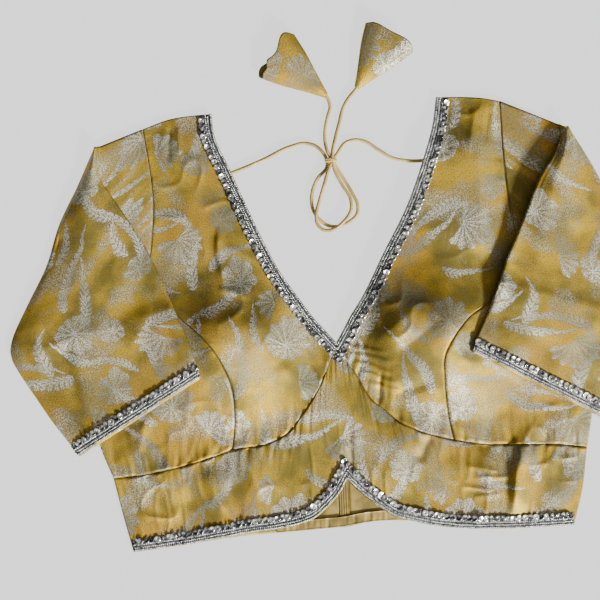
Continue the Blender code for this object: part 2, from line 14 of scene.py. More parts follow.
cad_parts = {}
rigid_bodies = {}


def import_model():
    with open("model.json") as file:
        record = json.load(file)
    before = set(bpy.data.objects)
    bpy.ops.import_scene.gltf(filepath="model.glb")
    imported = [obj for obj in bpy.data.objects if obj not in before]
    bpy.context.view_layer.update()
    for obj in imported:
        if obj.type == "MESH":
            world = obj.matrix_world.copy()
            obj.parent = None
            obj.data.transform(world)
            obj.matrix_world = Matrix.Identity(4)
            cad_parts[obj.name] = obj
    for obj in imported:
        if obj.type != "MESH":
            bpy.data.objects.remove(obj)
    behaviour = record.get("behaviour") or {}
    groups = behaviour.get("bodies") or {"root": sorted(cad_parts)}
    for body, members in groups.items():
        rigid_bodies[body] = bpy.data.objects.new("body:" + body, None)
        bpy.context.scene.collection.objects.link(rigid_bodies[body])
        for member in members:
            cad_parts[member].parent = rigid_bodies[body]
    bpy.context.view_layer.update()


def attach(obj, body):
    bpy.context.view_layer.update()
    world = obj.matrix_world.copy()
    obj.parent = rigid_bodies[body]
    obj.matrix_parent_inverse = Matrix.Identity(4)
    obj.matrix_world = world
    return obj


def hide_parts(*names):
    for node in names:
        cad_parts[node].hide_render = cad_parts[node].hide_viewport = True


bl_info = {
    "name": "Choli blouse",
    "version": (1, 0, 0),
    "blender": (4, 5, 0),
    "location": "View3D > Sidebar > Choli",
    "description": "Builds a brocade choli blouse with sequin trims, tie cords and tassels, laid flat",
    "category": "Object",
}

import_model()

# Sizes below are in millimetres, in the garment's own frame, as in the part's source.
# CLOTH is the thickness of a wall. The front's underside is EDGE high at the seams and REST high inside.
MM = 0.001
CENTRE = (-3.4, 121.3)
CLOTH = 1.2
REST = 3.3
EDGE = 1.6
EDGE_REACH = 24.0

NECK = {
    "left": [(-97, 310), (-96, 293), (-84, 260), (-72, 228), (-61, 200), (-47, 169), (-31, 143),
             (-20, 126), (-11, 115), (-3, 105)],
    "right": [(98, 311), (93, 287), (83, 259), (67, 221), (42, 178), (20, 140), (10, 126), (4, 116),
              (-3, 105)],
}
SHOULDER = {
    "left": [(-97, 310), (-110, 310), (-134, 308), (-158, 301)],
    "right": [(98, 311), (118, 310), (136, 308), (153, 304)],
}
ARMHOLE_UPPER = {
    "left": [(-158, 301), (-154, 261), (-153, 239), (-156, 209), (-159, 191), (-168, 166)],
    "right": [(153, 304), (153, 286), (153, 259), (154, 230), (156, 210), (160, 190), (165, 168)],
}
ARMHOLE_LOWER = {
    "left": [(-168, 166), (-178, 152), (-193, 139), (-208, 129), (-225, 122)],
    "right": [(165, 168), (172, 154), (183, 141), (204, 125), (230, 113)],
}
PRINCESS = {
    "left": [(-168, 166), (-150, 149), (-136, 135), (-118, 118), (-103, 95), (-96, 73), (-95, 48), (-99, 18)],
    "right": [(165, 168), (147, 145), (132, 131), (112, 119), (97, 103), (89, 88), (88, 66), (89, 42),
              (93, 13)],
}
CUP_SEAM = {
    "left": [(-3, 105), (-9, 91), (-17, 73), (-26, 58), (-38, 43), (-48, 31), (-63, 23), (-99, 18)],
    "right": [(-3, 105), (5, 89), (12, 76), (18, 63), (24, 53), (32, 46), (47, 32), (66, 22), (93, 13)],
}
WAIST = {
    "left": [(-99, 18), (-120, 12), (-153, 5), (-173, 2), (-204, 0)],
    "right": [(93, 13), (117, 8), (159, 5), (183, 3), (208, -1)],
}
SIDE = {
    "left": [(-225, 122), (-219, 74), (-214, 30), (-204, 0)],
    "right": [(230, 113), (222, 70), (215, 30), (208, -1)],
}
LOW_SIDE = {
    "left": [(-204, 0), (-197, -37), (-191, -65)],
    "right": [(208, -1), (201, -39), (192, -68)],
}
HEM = {
    "left": [(-2, -15), (-9, -26), (-20, -37), (-32, -46), (-44, -50), (-62, -53), (-90, -55), (-141, -61),
             (-191, -65)],
    "right": [(-2, -15), (10, -28), (23, -39), (36, -49), (50, -54), (71, -60), (104, -65), (137, -67),
              (192, -68)],
}
BACK_NECK = {
    "left": [(-97, 310), (-102, 288), (-92, 254), (-80, 222), (-69, 194), (-56, 163), (-41, 132), (-27, 103),
             (-14, 80), (-7, 66)],
    "right": [(98, 311), (101, 288), (91, 257), (75, 219), (52, 178), (35, 145), (25, 120), (16, 98), (8, 79),
              (1, 66)],
}
CENTRE_BACK = [(-3, 66), (-4.5, 5), (-6, -56)]
BACK_HEM = {
    "left": [(-6, -56), (-46, -57), (-89, -58), (-140, -62), (-191, -66)],
    "right": [(-6, -56), (9, -54), (37, -53.5), (71, -58), (104, -63), (192, -68.5)],
}
PLACKET_WIDTH = 7.6
FACING_WIDTH = 9.0
FACING_REACH = {"left": -66, "right": 52}
CUPS = [  # x, y, height, reach_x, reach_y
    (-98, 106, 15, 84, 80),
    (96, 101, 15, 84, 80),
]
FOLDS = [  # x0, y0, x1, y1, height, width
    (153, 10, 140, -48, 5.0, 13),
    (118, 2, 128, -40, 2.5, 10),
    (-120, -2, -104, -50, 2.5, 12),
    (-90, 14, -72, -34, 2.0, 12),
    (-184, 30, -170, 4, 2.2, 9),
    (60, 28, 30, -22, 1.8, 14),
]
SLEEVE_ROWS = {  # seam, tuck, fold_x, fold_y, outer_x, outer_y, puff
    "left": [
        (0.00, 39.0, -197.0, 288.3, -201.5, 286.8, 0.0),
        (0.13, 47.0, -197.5, 261, -218, 255, 0.6),
        (0.26, 55.0, -185, 238, -236, 223, 1.2),
        (0.40, 56.0, -170, 212, -250, 187, 1.8),
        (0.54, 54.0, -158, 188, -269, 154, 2.4),
        (0.67, 46.0, -150, 167, -283, 128, 2.6),
        (0.80, 31.0, -145.5, 155, -286, 117, 2.8),
        (0.90, 17.0, -143, 149, -285.5, 112, 2.8),
        (1.00, 2.0, -141, 143, -284, 106, 2.8),
        (1.20, 0.0, -137, 132, -279, 96, 2.8),
        (1.45, 0.0, -132, 119, -268, 77, 2.6),
        (1.65, 0.0, -128.6, 107, -254.5, 54, 2.4),
        (1.86, 0.0, -125.2, 94.6, -239.5, 31.8, 2.2),
        (1.93, 0.0, -123.6, 88.3, -235.8, 26.4, 2.0),
        (2.00, 0.0, -122, 82, -232, 21, 1.8),
    ],
    "right": [
        (0.00, 54.0, 207.4, 277.6, 212, 275.6, 0.0),
        (0.16, 57.0, 197, 255, 228, 246, 0.6),
        (0.27, 61.0, 182, 234, 242, 215, 1.2),
        (0.43, 62.0, 168, 205, 257, 178, 1.8),
        (0.55, 57.0, 158, 184.5, 268, 146, 2.4),
        (0.66, 50.0, 148, 165.5, 276, 120, 2.6),
        (0.79, 33.0, 144, 155.5, 278.5, 106, 2.8),
        (0.90, 17.0, 142, 151, 278.5, 100, 2.8),
        (1.00, 2.0, 140, 146, 277, 93, 2.8),
        (1.20, 0.0, 136, 137, 273, 82, 2.8),
        (1.45, 0.0, 130, 124, 264, 66, 2.6),
        (1.65, 0.0, 123.5, 112, 251.5, 47.5, 2.4),
        (1.86, 0.0, 117.2, 99.9, 237.6, 29.5, 2.2),
        (1.93, 0.0, 115.1, 93.9, 233.8, 24.2, 2.0),
        (2.00, 0.0, 113, 88, 230, 19, 1.8),
    ],
}
UNDERARM_SEAM = {
    "left": [(-229, 121), (-231, 104), (-224, 87), (-208, 67), (-189, 45)],
    "right": [(234, 111), (236, 95), (229, 80), (210, 64), (184, 46)],
}
# A sleeve starts SLEEVE_SEAM from the armhole and lies SLEEVE_GAP over the front. Its cloth is lifted round the
# underarm, and its front fold by FOLD_RISE, which fades towards the body and across the top.
SLEEVE_SEAM = 0.5
SLEEVE_GAP = 0.8
LIFT_FADE = 30.0
RISE_FADE_BELOW = 18.0
RISE_FADE_TOP = 26.0
UNDERARM_LIFT = 1.6
UNDERARM_PULL = 4.0
CLIMB = (14.0, 2.0)
FRONT_TURN = 1.1
OUTER_TURN = 1.2
PLEAT_POINTS = 60
TURN_POINTS = 7
TOP_POINTS = 96
FLOOR_POINTS = 50
SLEEVE_LENGTH_ROWS = 118
SLEEVE_CROWN = 3.5
CROWN_SKEW = {"left": 1.0, "right": 0.5}
FOLD_RISE = {"left": 1.0, "right": 8.0}

# The front's face is a shell this thick, with gathers this long and a stitched groove along its seams.
SHELL = 0.9
GATHER = 5.0
GROOVE_DEPTH = 0.8
GROOVE_WIDTH = 0.8

# Sequin lace: columns of points across it, how many of them the tape leaves free at its outer and inner edge,
# the gap in a mitre, and the cloth that shows beyond it at a sleeve's hem.
TRIM_COLUMNS = 27
TAPE_OUTER, TAPE_INNER = 2, 5
MITRE_GAP = 0.4
SLEEVE_MARGIN = 1.3
BRAID_ROWS = ((1.6, 0.75), (3.9, -0.75), (6.2, 0.75))  # distance from the outer edge, slant
BEAD = (2.9, 1.25, 1.0)  # length, width, height

# Tie cords, one route a side: along the floor to the knot, round a loop of the bow, and out to the tassel.
# A route's heights are for a cord whose radius is ROUTE_RADIUS.
CORD = 3.2
ROUTE_RADIUS = 1.3
WRAP_RADIUS = 1.35
KNOT = (3.4, 263.2, 3.7)
ROUTES = {
    "left": [(-91.6, 255.6, 1.3), (-83, 258, 1.3), (-56, 267, 1.3), (-31, 277, 1.3), (-18, 279, 1.3),
             (-9, 276, 1.3), (-2.6, 269, 2.2), (0, 262, 2.8), (-0.6, 257.0, 1.9), (-9, 248, 1.3),
             (-15, 235, 1.3), (-15, 221, 1.3), (-10, 212, 1.3), (-2, 206, 1.3), (6, 205, 1.3),
             (15, 208, 1.3), (23, 215, 1.3), (24, 222, 1.3), (20, 233, 1.3), (14, 245, 1.3),
             (7.6, 256.8, 1.9), (4.6, 263, 3.2), (1.2, 269.6, 3.4), (-0.4, 278, 1.3), (0, 288, 1.3),
             (3, 300, 1.3), (6, 310, 1.6), (3.9, 317.6, 2.0), (-6, 328, 3.0)],
    "right": [(90.4, 257.6, 1.3), (82, 257, 1.3), (68, 258, 1.3), (57, 261, 1.3), (45, 269, 1.3),
              (34, 277, 1.3), (26, 279, 1.3), (17, 277, 1.3), (9.6, 268.6, 2.2), (5.5, 263, 4.4),
              (2.0, 257.2, 4.8), (-3.5, 243, 4.4), (-9, 228, 4.4), (-12.5, 217, 4.4), (-12, 208, 4.4),
              (-8, 203, 4.4), (-1, 202, 4.4), (10, 208, 4.4), (18, 219, 4.4), (18, 228, 4.4),
              (12, 240, 4.4), (5.3, 257.0, 4.8), (4.6, 263, 5.0), (5.2, 269.6, 3.4), (8, 280, 1.3),
              (13, 295, 1.3), (17, 307, 1.3), (22, 315, 1.6), (29.5, 322.9, 2.0), (37.5, 333.5, 3.0)],
}
TASSEL_SECTIONS = [(0.0, 2.4, 1.9), (0.14, 5.4, 3.2), (0.4, 11.5, 4.4), (0.7, 18.5, 5.4), (1.0, 24.0, 6.0)]
TASSELS = {
    "left": {"tip": (3.2, 319.0), "mouth": (-37.0, 356.0), "dip": 3.0, "open": 9.0,
             "lobes": 6.0, "slant": 0.0, "cloth": (70, 40)},
    "right": {"tip": (30.2, 323.9), "mouth": (61.0, 364.5), "dip": 6.0, "open": 0.0,
              "lobes": 2.5, "slant": -1.0, "cloth": (90, 210)},
}
MOUTH_WAVE = 0.9

# Creases in the front: ends of the crest, height (below 0 is a trough), and width on either side of it.
CREASES = [  # x0, y0, x1, y1, height, left_width, right_width
    (150, 6, 137, -56, 4.2, 3.4, 14),
    (72, 16, 63, -2, -1.9, 5, 4),
    (102, -9, 128, -15, 0.9, 2.0, 3.4),
    (110, -19, 138, -21, 1.2, 2.4, 3.0),
    (98, -27, 122, -33, 0.9, 1.8, 2.6),
    (108, -38, 128, -37, 0.8, 2.2, 3.6),
    (2, 30, 3, -10, -1.4, 3, 3),
    (-124, 4, -108, -36, 2.4, 7, 4),
    (-96, 20, -76, -22, 1.9, 5, 7),
    (-104, -8, -96, -46, -1.9, 9, 6),
    (-160, 6, -150, -40, 1.6, 6, 5),
    (-140, 2, -136, -30, -1.3, 5, 5),
    (-100, 209, -97, 164, 2.8, 2.6, 4.0),
    (-100, 158, -78, 150, 1.8, 3.0, 3.5),
    (-132, 130, -46, 118, 5.0, 30, 20),
    (24, 106, 118, 118, 10.5, 60, 24),
    (126, 150, 130, 300, 7.0, 60, 13),
    (-60, 176, -92, 196, 1.3, 4, 4),
    (34, 74, 31, 50, -2.1, 2.2, 2.2),
    (6, 101, 40, 93, 1.4, 2.0, 2.4),
    (10, 94, 46, 84, 1.7, 2.0, 2.6),
    (12, 86, 44, 75, 1.5, 1.8, 2.2),
    (18, 78, 48, 66, 1.8, 2.2, 2.4),
    (24, 68, 50, 60, 1.4, 1.8, 2.2),
    (46, 58, 76, 66, -1.9, 6, 6),
    (44, 90, 88, 120, -2.6, 9, 9),
    (30, 104, 70, 134, 1.6, 8, 8),
    (96, 290, 108, 262, -1.4, 4, 4),
    (130, 300, 122, 260, 1.3, 4, 4),
    (142, 300, 138, 270, -1.3, 4, 4),
    (-134, 300, -138, 272, -1.4, 3, 3),
    (-126, 300, -128, 276, 1.3, 3, 3),
    (-30, 60, -52, 88, 1.6, 6, 6),
    (-180, 20, -172, 60, 2.2, 6, 5),
]
SLEEVE_CREASES = [
    (-276, 196, -226, 214, -2.1, 6, 9),
    (-243, 214, -252, 204, -1.5, 3, 3),
    (-262, 150, -258, 90, 1.5, 9, 9),
    (-160, 150, -182, 110, 1.4, 8, 6),
    (-236, 88, -210, 50, -1.5, 9, 9),
    (-150, 130, -140, 100, -1.2, 6, 6),
    (188, 232, 214, 186, 1.4, 8, 6),
    (150, 140, 178, 92, 1.5, 8, 8),
    (224, 180, 244, 120, -1.5, 9, 7),
    (196, 90, 214, 46, -1.5, 7, 6),
    (172, 126, 200, 70, 1.2, 8, 8),
]


# ---------------------------------------------------------------- shapes as arrays

def smooth(points, count):
    """Cubic curve through the points, with slopes from their neighbours, sampled evenly by length."""
    p = np.array(points, float)
    t = np.concatenate([[0.0], np.cumsum(np.linalg.norm(np.diff(p, axis=0), axis=1))])
    slope = np.gradient(p, t, axis=0)
    fine = np.linspace(0, t[-1], 24 * len(p))
    k = np.clip(np.searchsorted(t, fine, side="right") - 1, 0, len(p) - 2)
    h = (t[k + 1] - t[k])[:, None]
    u = ((fine - t[k]) / h[:, 0])[:, None]
    curve = ((1 + 2 * u) * (1 - u) ** 2 * p[k] + u * (1 - u) ** 2 * h * slope[k]
             + u * u * (3 - 2 * u) * p[k + 1] + u * u * (u - 1) * h * slope[k + 1])
    return spread(curve, np.linspace(0, 1, count))


def length_along(curve):
    return np.concatenate([[0.0], np.cumsum(np.linalg.norm(np.diff(curve, axis=0), axis=1))])


def spread(curve, fractions):
    """Points at these fractions of a polyline's length."""
    gone = length_along(curve)
    at = np.asarray(fractions) * gone[-1]
    return np.stack([np.interp(at, gone, column) for column in curve.T], axis=-1)


def join(*curves):
    """One curve from several, each of which starts where the last one ends."""
    return np.concatenate([curves[0]] + [curve[1:] for curve in curves[1:]])


def ease(x):
    """0 below 0, 1 above 1, and 3x^2 - 2x^3 between."""
    x = np.clip(x, 0.0, 1.0)
    return x * x * (3 - 2 * x)


def unit(v):
    return v / np.linalg.norm(v)


def unit_rows(v):
    return v / np.linalg.norm(v, axis=1, keepdims=True)


def line(start, end, count):
    return start + np.linspace(0, 1, count)[:, None] * (end - start)


def lattice_noise(x, y, size, seed):
    """Smooth noise from -1 to 1: random values on a square lattice of this size, blended with ease."""
    table = np.random.default_rng(seed).uniform(-1, 1, (64, 64))
    u, v = np.asarray(x) / size, np.asarray(y) / size
    i, j = np.floor(u).astype(int), np.floor(v).astype(int)
    a, b = ease(u - i), ease(v - j)
    low = table[i % 64, j % 64] * (1 - a) + table[(i + 1) % 64, j % 64] * a
    high = table[i % 64, (j + 1) % 64] * (1 - a) + table[(i + 1) % 64, (j + 1) % 64] * a
    return low * (1 - b) + high * b


def patch(top, bottom, first, last):
    """Surface through four edges: top to bottom blended, plus first to last blended, less the corners."""
    t = np.linspace(0, 1, len(first))[:, None, None]
    s = np.linspace(0, 1, len(top))[None, :, None]
    corners = ((1 - s) * (1 - t) * top[0] + s * (1 - t) * top[-1]
               + (1 - s) * t * bottom[0] + s * t * bottom[-1])
    return (1 - t) * top[None] + t * bottom[None] + (1 - s) * first[:, None] + s * last[:, None] - corners


def body_outline():
    def down(side):
        return join(smooth(SHOULDER[side], 9), smooth(ARMHOLE_UPPER[side], 21),
                    smooth(ARMHOLE_LOWER[side], 13), smooth(SIDE[side], 13), smooth(LOW_SIDE[side], 9))

    return np.concatenate([down("left"), down("right")[::-1]])


OUTLINE = body_outline()
HEM_EDGE = len(OUTLINE) // 2 - 1


def inside_distance(x, y):
    """Distance in from the body's sides, armholes and shoulders, negative outside the body."""
    q = np.stack([np.ravel(x), np.ravel(y)], axis=-1)
    nearest = np.full(len(q), np.inf)
    inside = np.zeros(len(q), bool)
    for i in range(len(OUTLINE)):
        a, b = OUTLINE[i], OUTLINE[(i + 1) % len(OUTLINE)]
        crosses = (a[1] > q[:, 1]) != (b[1] > q[:, 1])
        if a[1] != b[1]:
            inside ^= crosses & (q[:, 0] < a[0] + (q[:, 1] - a[1]) * (b[0] - a[0]) / (b[1] - a[1]))
        if i in (HEM_EDGE, len(OUTLINE) - 1):
            continue
        along = np.clip((q - a) @ (b - a) / ((b - a) @ (b - a)), 0, 1)
        nearest = np.minimum(nearest, np.linalg.norm(q - a - along[:, None] * (b - a), axis=1))
    return np.where(inside, nearest, -nearest).reshape(np.shape(x))


def beside_line(x, y, x0, y0, x1, y1):
    """A line's length, and how far each point is along it and to its right."""
    length = math.hypot(x1 - x0, y1 - y0)
    along = ((x - x0) * (x1 - x0) + (y - y0) * (y1 - y0)) / length
    across = ((x - x0) * (y1 - y0) - (y - y0) * (x1 - x0)) / length
    return length, along, across


def front_height(x, y):
    """Underside of the front: EDGE at the seams, REST inside, a dome for each cup, and the folds.

    A dome is (1 - r^2)^2 of its height.
    """
    inward = inside_distance(x, y)
    fade = ease(inward / (1.4 * EDGE_REACH))
    z = EDGE + (REST - EDGE) * ease(inward / EDGE_REACH)
    for cup_x, cup_y, height, reach_x, reach_y in CUPS:
        r2 = ((x - cup_x) / reach_x) ** 2 + ((y - cup_y) / reach_y) ** 2
        z = z + height * np.clip(1 - r2, 0, 1) ** 2 * fade
    for x0, y0, x1, y1, height, width in FOLDS:
        length, along, across = beside_line(x, y, x0, y0, x1, y1)
        run = ease((along + 14) / 28) * ease((length + 14 - along) / 28)
        z = z + height * run * np.exp(-((across / width) ** 2)) * fade
    return z


def creases(table, x, y):
    """Each crease is height * exp(-|across / width|^1.6), with its own width on either side.

    It is eased in and out along its length and bent a little by noise.
    """
    z = np.zeros(np.shape(x))
    bend = 1.6 * lattice_noise(x, y, 21, 5)
    for x0, y0, x1, y1, height, left_width, right_width in table:
        length, along, across = beside_line(x, y, x0, y0, x1, y1)
        across = across + bend
        if y1 > y0:
            across = -across
        width = np.where(across > 0, left_width, right_width)
        fade = 0.35 * length
        run = ease((along + 4) / fade) * ease((length + 4 - along) / fade)
        z = z + height * run * np.exp(-np.abs(across / width) ** 1.6)
    return z


def bare(x, y):
    """1 where the front shows and 0 under a sleeve: beyond the sleeve's front fold and above its hem."""
    under = np.zeros(np.shape(x))
    for side, away in (("left", -1), ("right", 1)):
        fold = np.array([row[2:4] for row in SLEEVE_ROWS[side]], float)[::-1]
        beyond = away * (x - np.interp(y, fold[:, 1], fold[:, 0]))
        (x0, y0), (x1, y1) = SLEEVE_ROWS[side][-1][2:4], SLEEVE_ROWS[side][-1][4:6]
        over_hem = y - (y0 + (x - x0) * (y1 - y0) / (x1 - x0))
        under = np.maximum(under, ease((beyond + 16) / 16) * ease((over_hem + 10) / 10))
    return 1 - under


def wrinkles(x, y, height, size, seed):
    """Sharp small ridges along the zero lines of a noise, in drifts, as crumpled satin has."""
    bent = 5 * lattice_noise(x, y, 30, seed + 1)
    crest = np.clip(1 - 2.2 * np.abs(lattice_noise(x + bent, y - bent, size, seed)), 0, 1) ** 2
    return height * crest * ease(0.5 + 1.2 * lattice_noise(x, y, 42, seed + 2))


def front_top(x, y):
    """Face of the front without its seams: its height, the creases and a slow unevenness."""
    drift = 0.75 * lattice_noise(x, y, 36, 11) + 0.35 * lattice_noise(x, y, 14, 12)
    drift = drift + wrinkles(x, y, 0.9, 24, 81)
    drift = drift + wrinkles(x * 1.6, y * 0.55, 0.8, 20, 91) * ease((60 - y) / 60)
    relief = (creases(CREASES, x, y) + drift) * ease(inside_distance(x, y) / 12) * bare(x, y)
    return front_height(x, y) + CLOTH + relief


def pucker(away, along, seed, depth, reach):
    """Gathers at a seam: noise along it, fading with distance, on a groove that holds the stitches."""
    ridges = (lattice_noise(along, away * 0.25, GATHER, seed)
              + 0.6 * lattice_noise(along, away * 0.2, GATHER * 0.45, seed + 1))
    groove = GROOVE_DEPTH * np.exp(-((away / GROOVE_WIDTH) ** 2))
    return depth * ridges * np.exp(-away / reach) * ease(away / 2.0) - groove


def edge_distances(grid, edge):
    """For each point, its distance from an edge of the grid and its length along that edge.

    The edges are top, bottom, first and last.
    """
    g = {"top": grid, "bottom": grid[::-1], "first": grid.transpose(1, 0, 2),
         "last": grid.transpose(1, 0, 2)[::-1]}[edge][..., :2]
    steps = np.linalg.norm(np.diff(g, axis=0), axis=2)
    away = np.concatenate([np.zeros((1, g.shape[1])), np.cumsum(steps, axis=0)])
    along = np.broadcast_to(length_along(g[0]), away.shape)
    if edge == "bottom":
        return away[::-1], along[::-1]
    if edge == "first":
        return away.T, along.T
    if edge == "last":
        return away[::-1].T, along[::-1].T
    return away, along


def surface_normals(grid):
    """Cross product of the grid's two slopes, as unit vectors."""
    normal = np.cross(np.gradient(grid, axis=1), np.gradient(grid, axis=0))
    normal /= np.maximum(np.linalg.norm(normal, axis=-1, keepdims=True), 1e-9)
    return normal


def upward(normal):
    """The normals turned so that most point up."""
    return normal if normal[..., 2].mean() > 0 else -normal


# ---------------------------------------------------------------- meshes

def new_mesh(name, points, faces, finishes, face_finish=None, uv=None):
    """Object from arrays in millimetres. Faces are quads or triangles of one size; uv is one pair a point."""
    points = (np.asarray(points, float) - (*CENTRE, 0)) * MM
    faces = np.asarray(faces)
    corners = faces.shape[1]
    tri = faces[:, [0, 1, 2]] if corners == 3 else np.concatenate([faces[:, [0, 1, 2]], faces[:, [0, 2, 3]]])
    if np.einsum("ij,ij->i", points[tri[:, 0]], np.cross(points[tri[:, 1]], points[tri[:, 2]])).sum() < 0:
        faces = faces[:, ::-1]
    mesh = bpy.data.meshes.new(name)
    mesh.vertices.add(len(points))
    mesh.vertices.foreach_set("co", points.ravel())
    mesh.loops.add(faces.size)
    mesh.loops.foreach_set("vertex_index", faces.ravel())
    mesh.polygons.add(len(faces))
    mesh.polygons.foreach_set("loop_start", np.arange(0, faces.size, corners))
    mesh.polygons.foreach_set("loop_total", np.full(len(faces), corners))
    for finish in finishes:
        mesh.materials.append(finish)
    if face_finish is not None:
        mesh.polygons.foreach_set("material_index", np.asarray(face_finish, np.int32))
    if uv is not None:
        layer = mesh.uv_layers.new(name="Cloth")
        layer.data.foreach_set("uv", (np.asarray(uv, float)[faces.ravel()] * MM).ravel())
    mesh.update(calc_edges=True)
    mesh.validate()
    mesh.polygons.foreach_set("use_smooth", np.ones(len(mesh.polygons), bool))
    obj = bpy.data.objects.new(name, mesh)
    bpy.context.scene.collection.objects.link(obj)
    return obj


def grid_quads(rows, columns):
    number = np.arange(rows * columns).reshape(rows, columns)
    return number, np.stack([number[:-1, :-1], number[:-1, 1:], number[1:, 1:], number[1:, :-1]],
                            axis=-1).reshape(-1, 4)


def ring_quads(rows, columns, closed=False):
    """Numbers of the points in rings, the next number round each ring, and the quads between the rings.

    The last ring joins the first one if closed.
    """
    number = np.arange(rows * columns).reshape(rows, columns)
    beside = np.roll(number, -1, axis=1)
    joined = rows if closed else rows - 1
    onward, beyond = (np.roll(ring, -1, axis=0)[:joined] for ring in (number, beside))
    quads = np.stack([number[:joined], beside[:joined], beyond, onward], axis=-1).reshape(-1, 4)
    return number, beside, quads


def wall(name, low, high, uv, outside, inside):
    """Cloth with a face and a back: two grids joined round their edges. The face has the outside finish."""
    rows, columns = low.shape[:2]
    number, quads = grid_quads(rows, columns)
    rim = np.concatenate([number[0, :-1], number[:-1, -1], number[-1, :0:-1], number[:0:-1, 0]])
    onward = np.roll(rim, -1)
    total = rows * columns
    sides = np.stack([rim, rim + total, onward + total, onward], axis=-1)
    faces = np.concatenate([quads[:, ::-1], quads + total, sides[:, ::-1]])
    finish = np.concatenate([np.ones(len(quads)), np.zeros(len(quads) + len(sides))])
    points = np.concatenate([low.reshape(-1, 3), high.reshape(-1, 3)])
    both = np.concatenate([uv.reshape(-1, 2), uv.reshape(-1, 2)])
    return new_mesh(name, points, faces, [outside, inside], finish, both)


def lifted(grid, z):
    """A flat grid with heights."""
    return np.concatenate([grid, np.broadcast_to(z, grid.shape[:2])[..., None]], axis=-1)


def turned(grid, degrees, shift=(0, 0)):
    """Flat cloth coordinates: the points' own x and y, turned to the grain of the piece."""
    a = math.radians(degrees)
    x, y = grid[..., 0] - shift[0], grid[..., 1] - shift[1]
    return np.stack([x * math.cos(a) - y * math.sin(a), x * math.sin(a) + y * math.cos(a)], axis=-1)


def put_in_place(obj, slot, *nodes):
    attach(obj, "root")
    if nodes:
        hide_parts(*nodes)


# ---------------------------------------------------------------- finishes

class Wiring:
    """Short calls that add nodes to a tree and link them. An input may be a number, a colour or a socket."""

    def __init__(self, tree):
        self.tree = tree

    def add(self, kind, **settings):
        node = self.tree.nodes.new(kind)
        for key, value in settings.items():
            setattr(node, key, value)
        return node

    def put(self, socket, value):
        if isinstance(value, bpy.types.NodeSocket):
            self.tree.links.new(value, socket)
        elif value is not None:
            socket.default_value = value

    def math(self, operation, a, b=None, clamp=False):
        node = self.add("ShaderNodeMath", operation=operation, use_clamp=clamp)
        for socket, value in zip(node.inputs, (a, b)):
            self.put(socket, value)
        return node.outputs[0]

    def vector(self, operation, a, b=None, c=None, scale=None):
        node = self.add("ShaderNodeVectorMath", operation=operation)
        for socket, value in zip(node.inputs, (a, b, c)):
            self.put(socket, value)
        if scale is not None:
            self.put(node.inputs["Scale"], scale)
        return node.outputs["Value" if operation in ("LENGTH", "DOT_PRODUCT") else "Vector"]

    def split(self, vector):
        node = self.add("ShaderNodeSeparateXYZ")
        self.put(node.inputs[0], vector)
        return node.outputs

    def combine(self, x, y, z=0.0):
        node = self.add("ShaderNodeCombineXYZ")
        for socket, value in zip(node.inputs, (x, y, z)):
            self.put(socket, value)
        return node.outputs[0]

    def soft_step(self, value, low, high):
        node = self.add("ShaderNodeMapRange", interpolation_type="SMOOTHSTEP", clamp=True)
        for key, given in (("Value", value), ("From Min", low), ("From Max", high)):
            self.put(node.inputs[key], given)
        return node.outputs[0]

    def noise(self, vector, scale, detail=2.0, rough=0.5):
        node = self.add("ShaderNodeTexNoise")
        for key, given in (("Vector", vector), ("Scale", scale), ("Detail", detail), ("Roughness", rough)):
            self.put(node.inputs[key], given)
        return node.outputs["Fac"]

    def mix(self, factor, a, b):
        """Blend of two colours. Each is a socket, or its red, green and blue."""
        node = self.add("ShaderNodeMix", data_type="RGBA")
        self.put(node.inputs["Factor"], factor)
        for socket, value in ((node.inputs[6], a), (node.inputs[7], b)):
            linked = isinstance(value, bpy.types.NodeSocket)
            self.put(socket, value if linked else (*value, 1))
        return node.outputs[2]

    def blend(self, factor, a, b):
        node = self.add("ShaderNodeMix", data_type="FLOAT")
        for socket, value in zip((node.inputs[0], node.inputs[2], node.inputs[3]), (factor, a, b)):
            self.put(socket, value)
        return node.outputs[0]

    def group(self, name, **given):
        node = self.add("ShaderNodeGroup", node_tree=bpy.data.node_groups[name])
        for key, value in given.items():
            self.put(node.inputs[key.replace("_", " ")], value)
        return node.outputs

    def bump(self, height, strength, distance):
        node = self.add("ShaderNodeBump")
        for key, given in (("Height", height), ("Strength", strength), ("Distance", distance)):
            self.put(node.inputs[key], given)
        return node.outputs[0]


def start_group(name, inputs, outputs):
    """A new node group with these sockets: (name, kind, default) in, (name, kind) out."""
    tree = bpy.data.node_groups.new(name, "ShaderNodeTree")
    kinds = {"f": "NodeSocketFloat", "v": "NodeSocketVector", "c": "NodeSocketColor"}
    for label, kind, default in inputs:
        socket = tree.interface.new_socket(label, in_out="INPUT", socket_type=kinds[kind])
        if default is not None:
            socket.default_value = default
    for label, kind in outputs:
        tree.interface.new_socket(label, in_out="OUTPUT", socket_type=kinds[kind])
    w = Wiring(tree)
    return w, w.add("NodeGroupInput").outputs, w.add("NodeGroupOutput").inputs


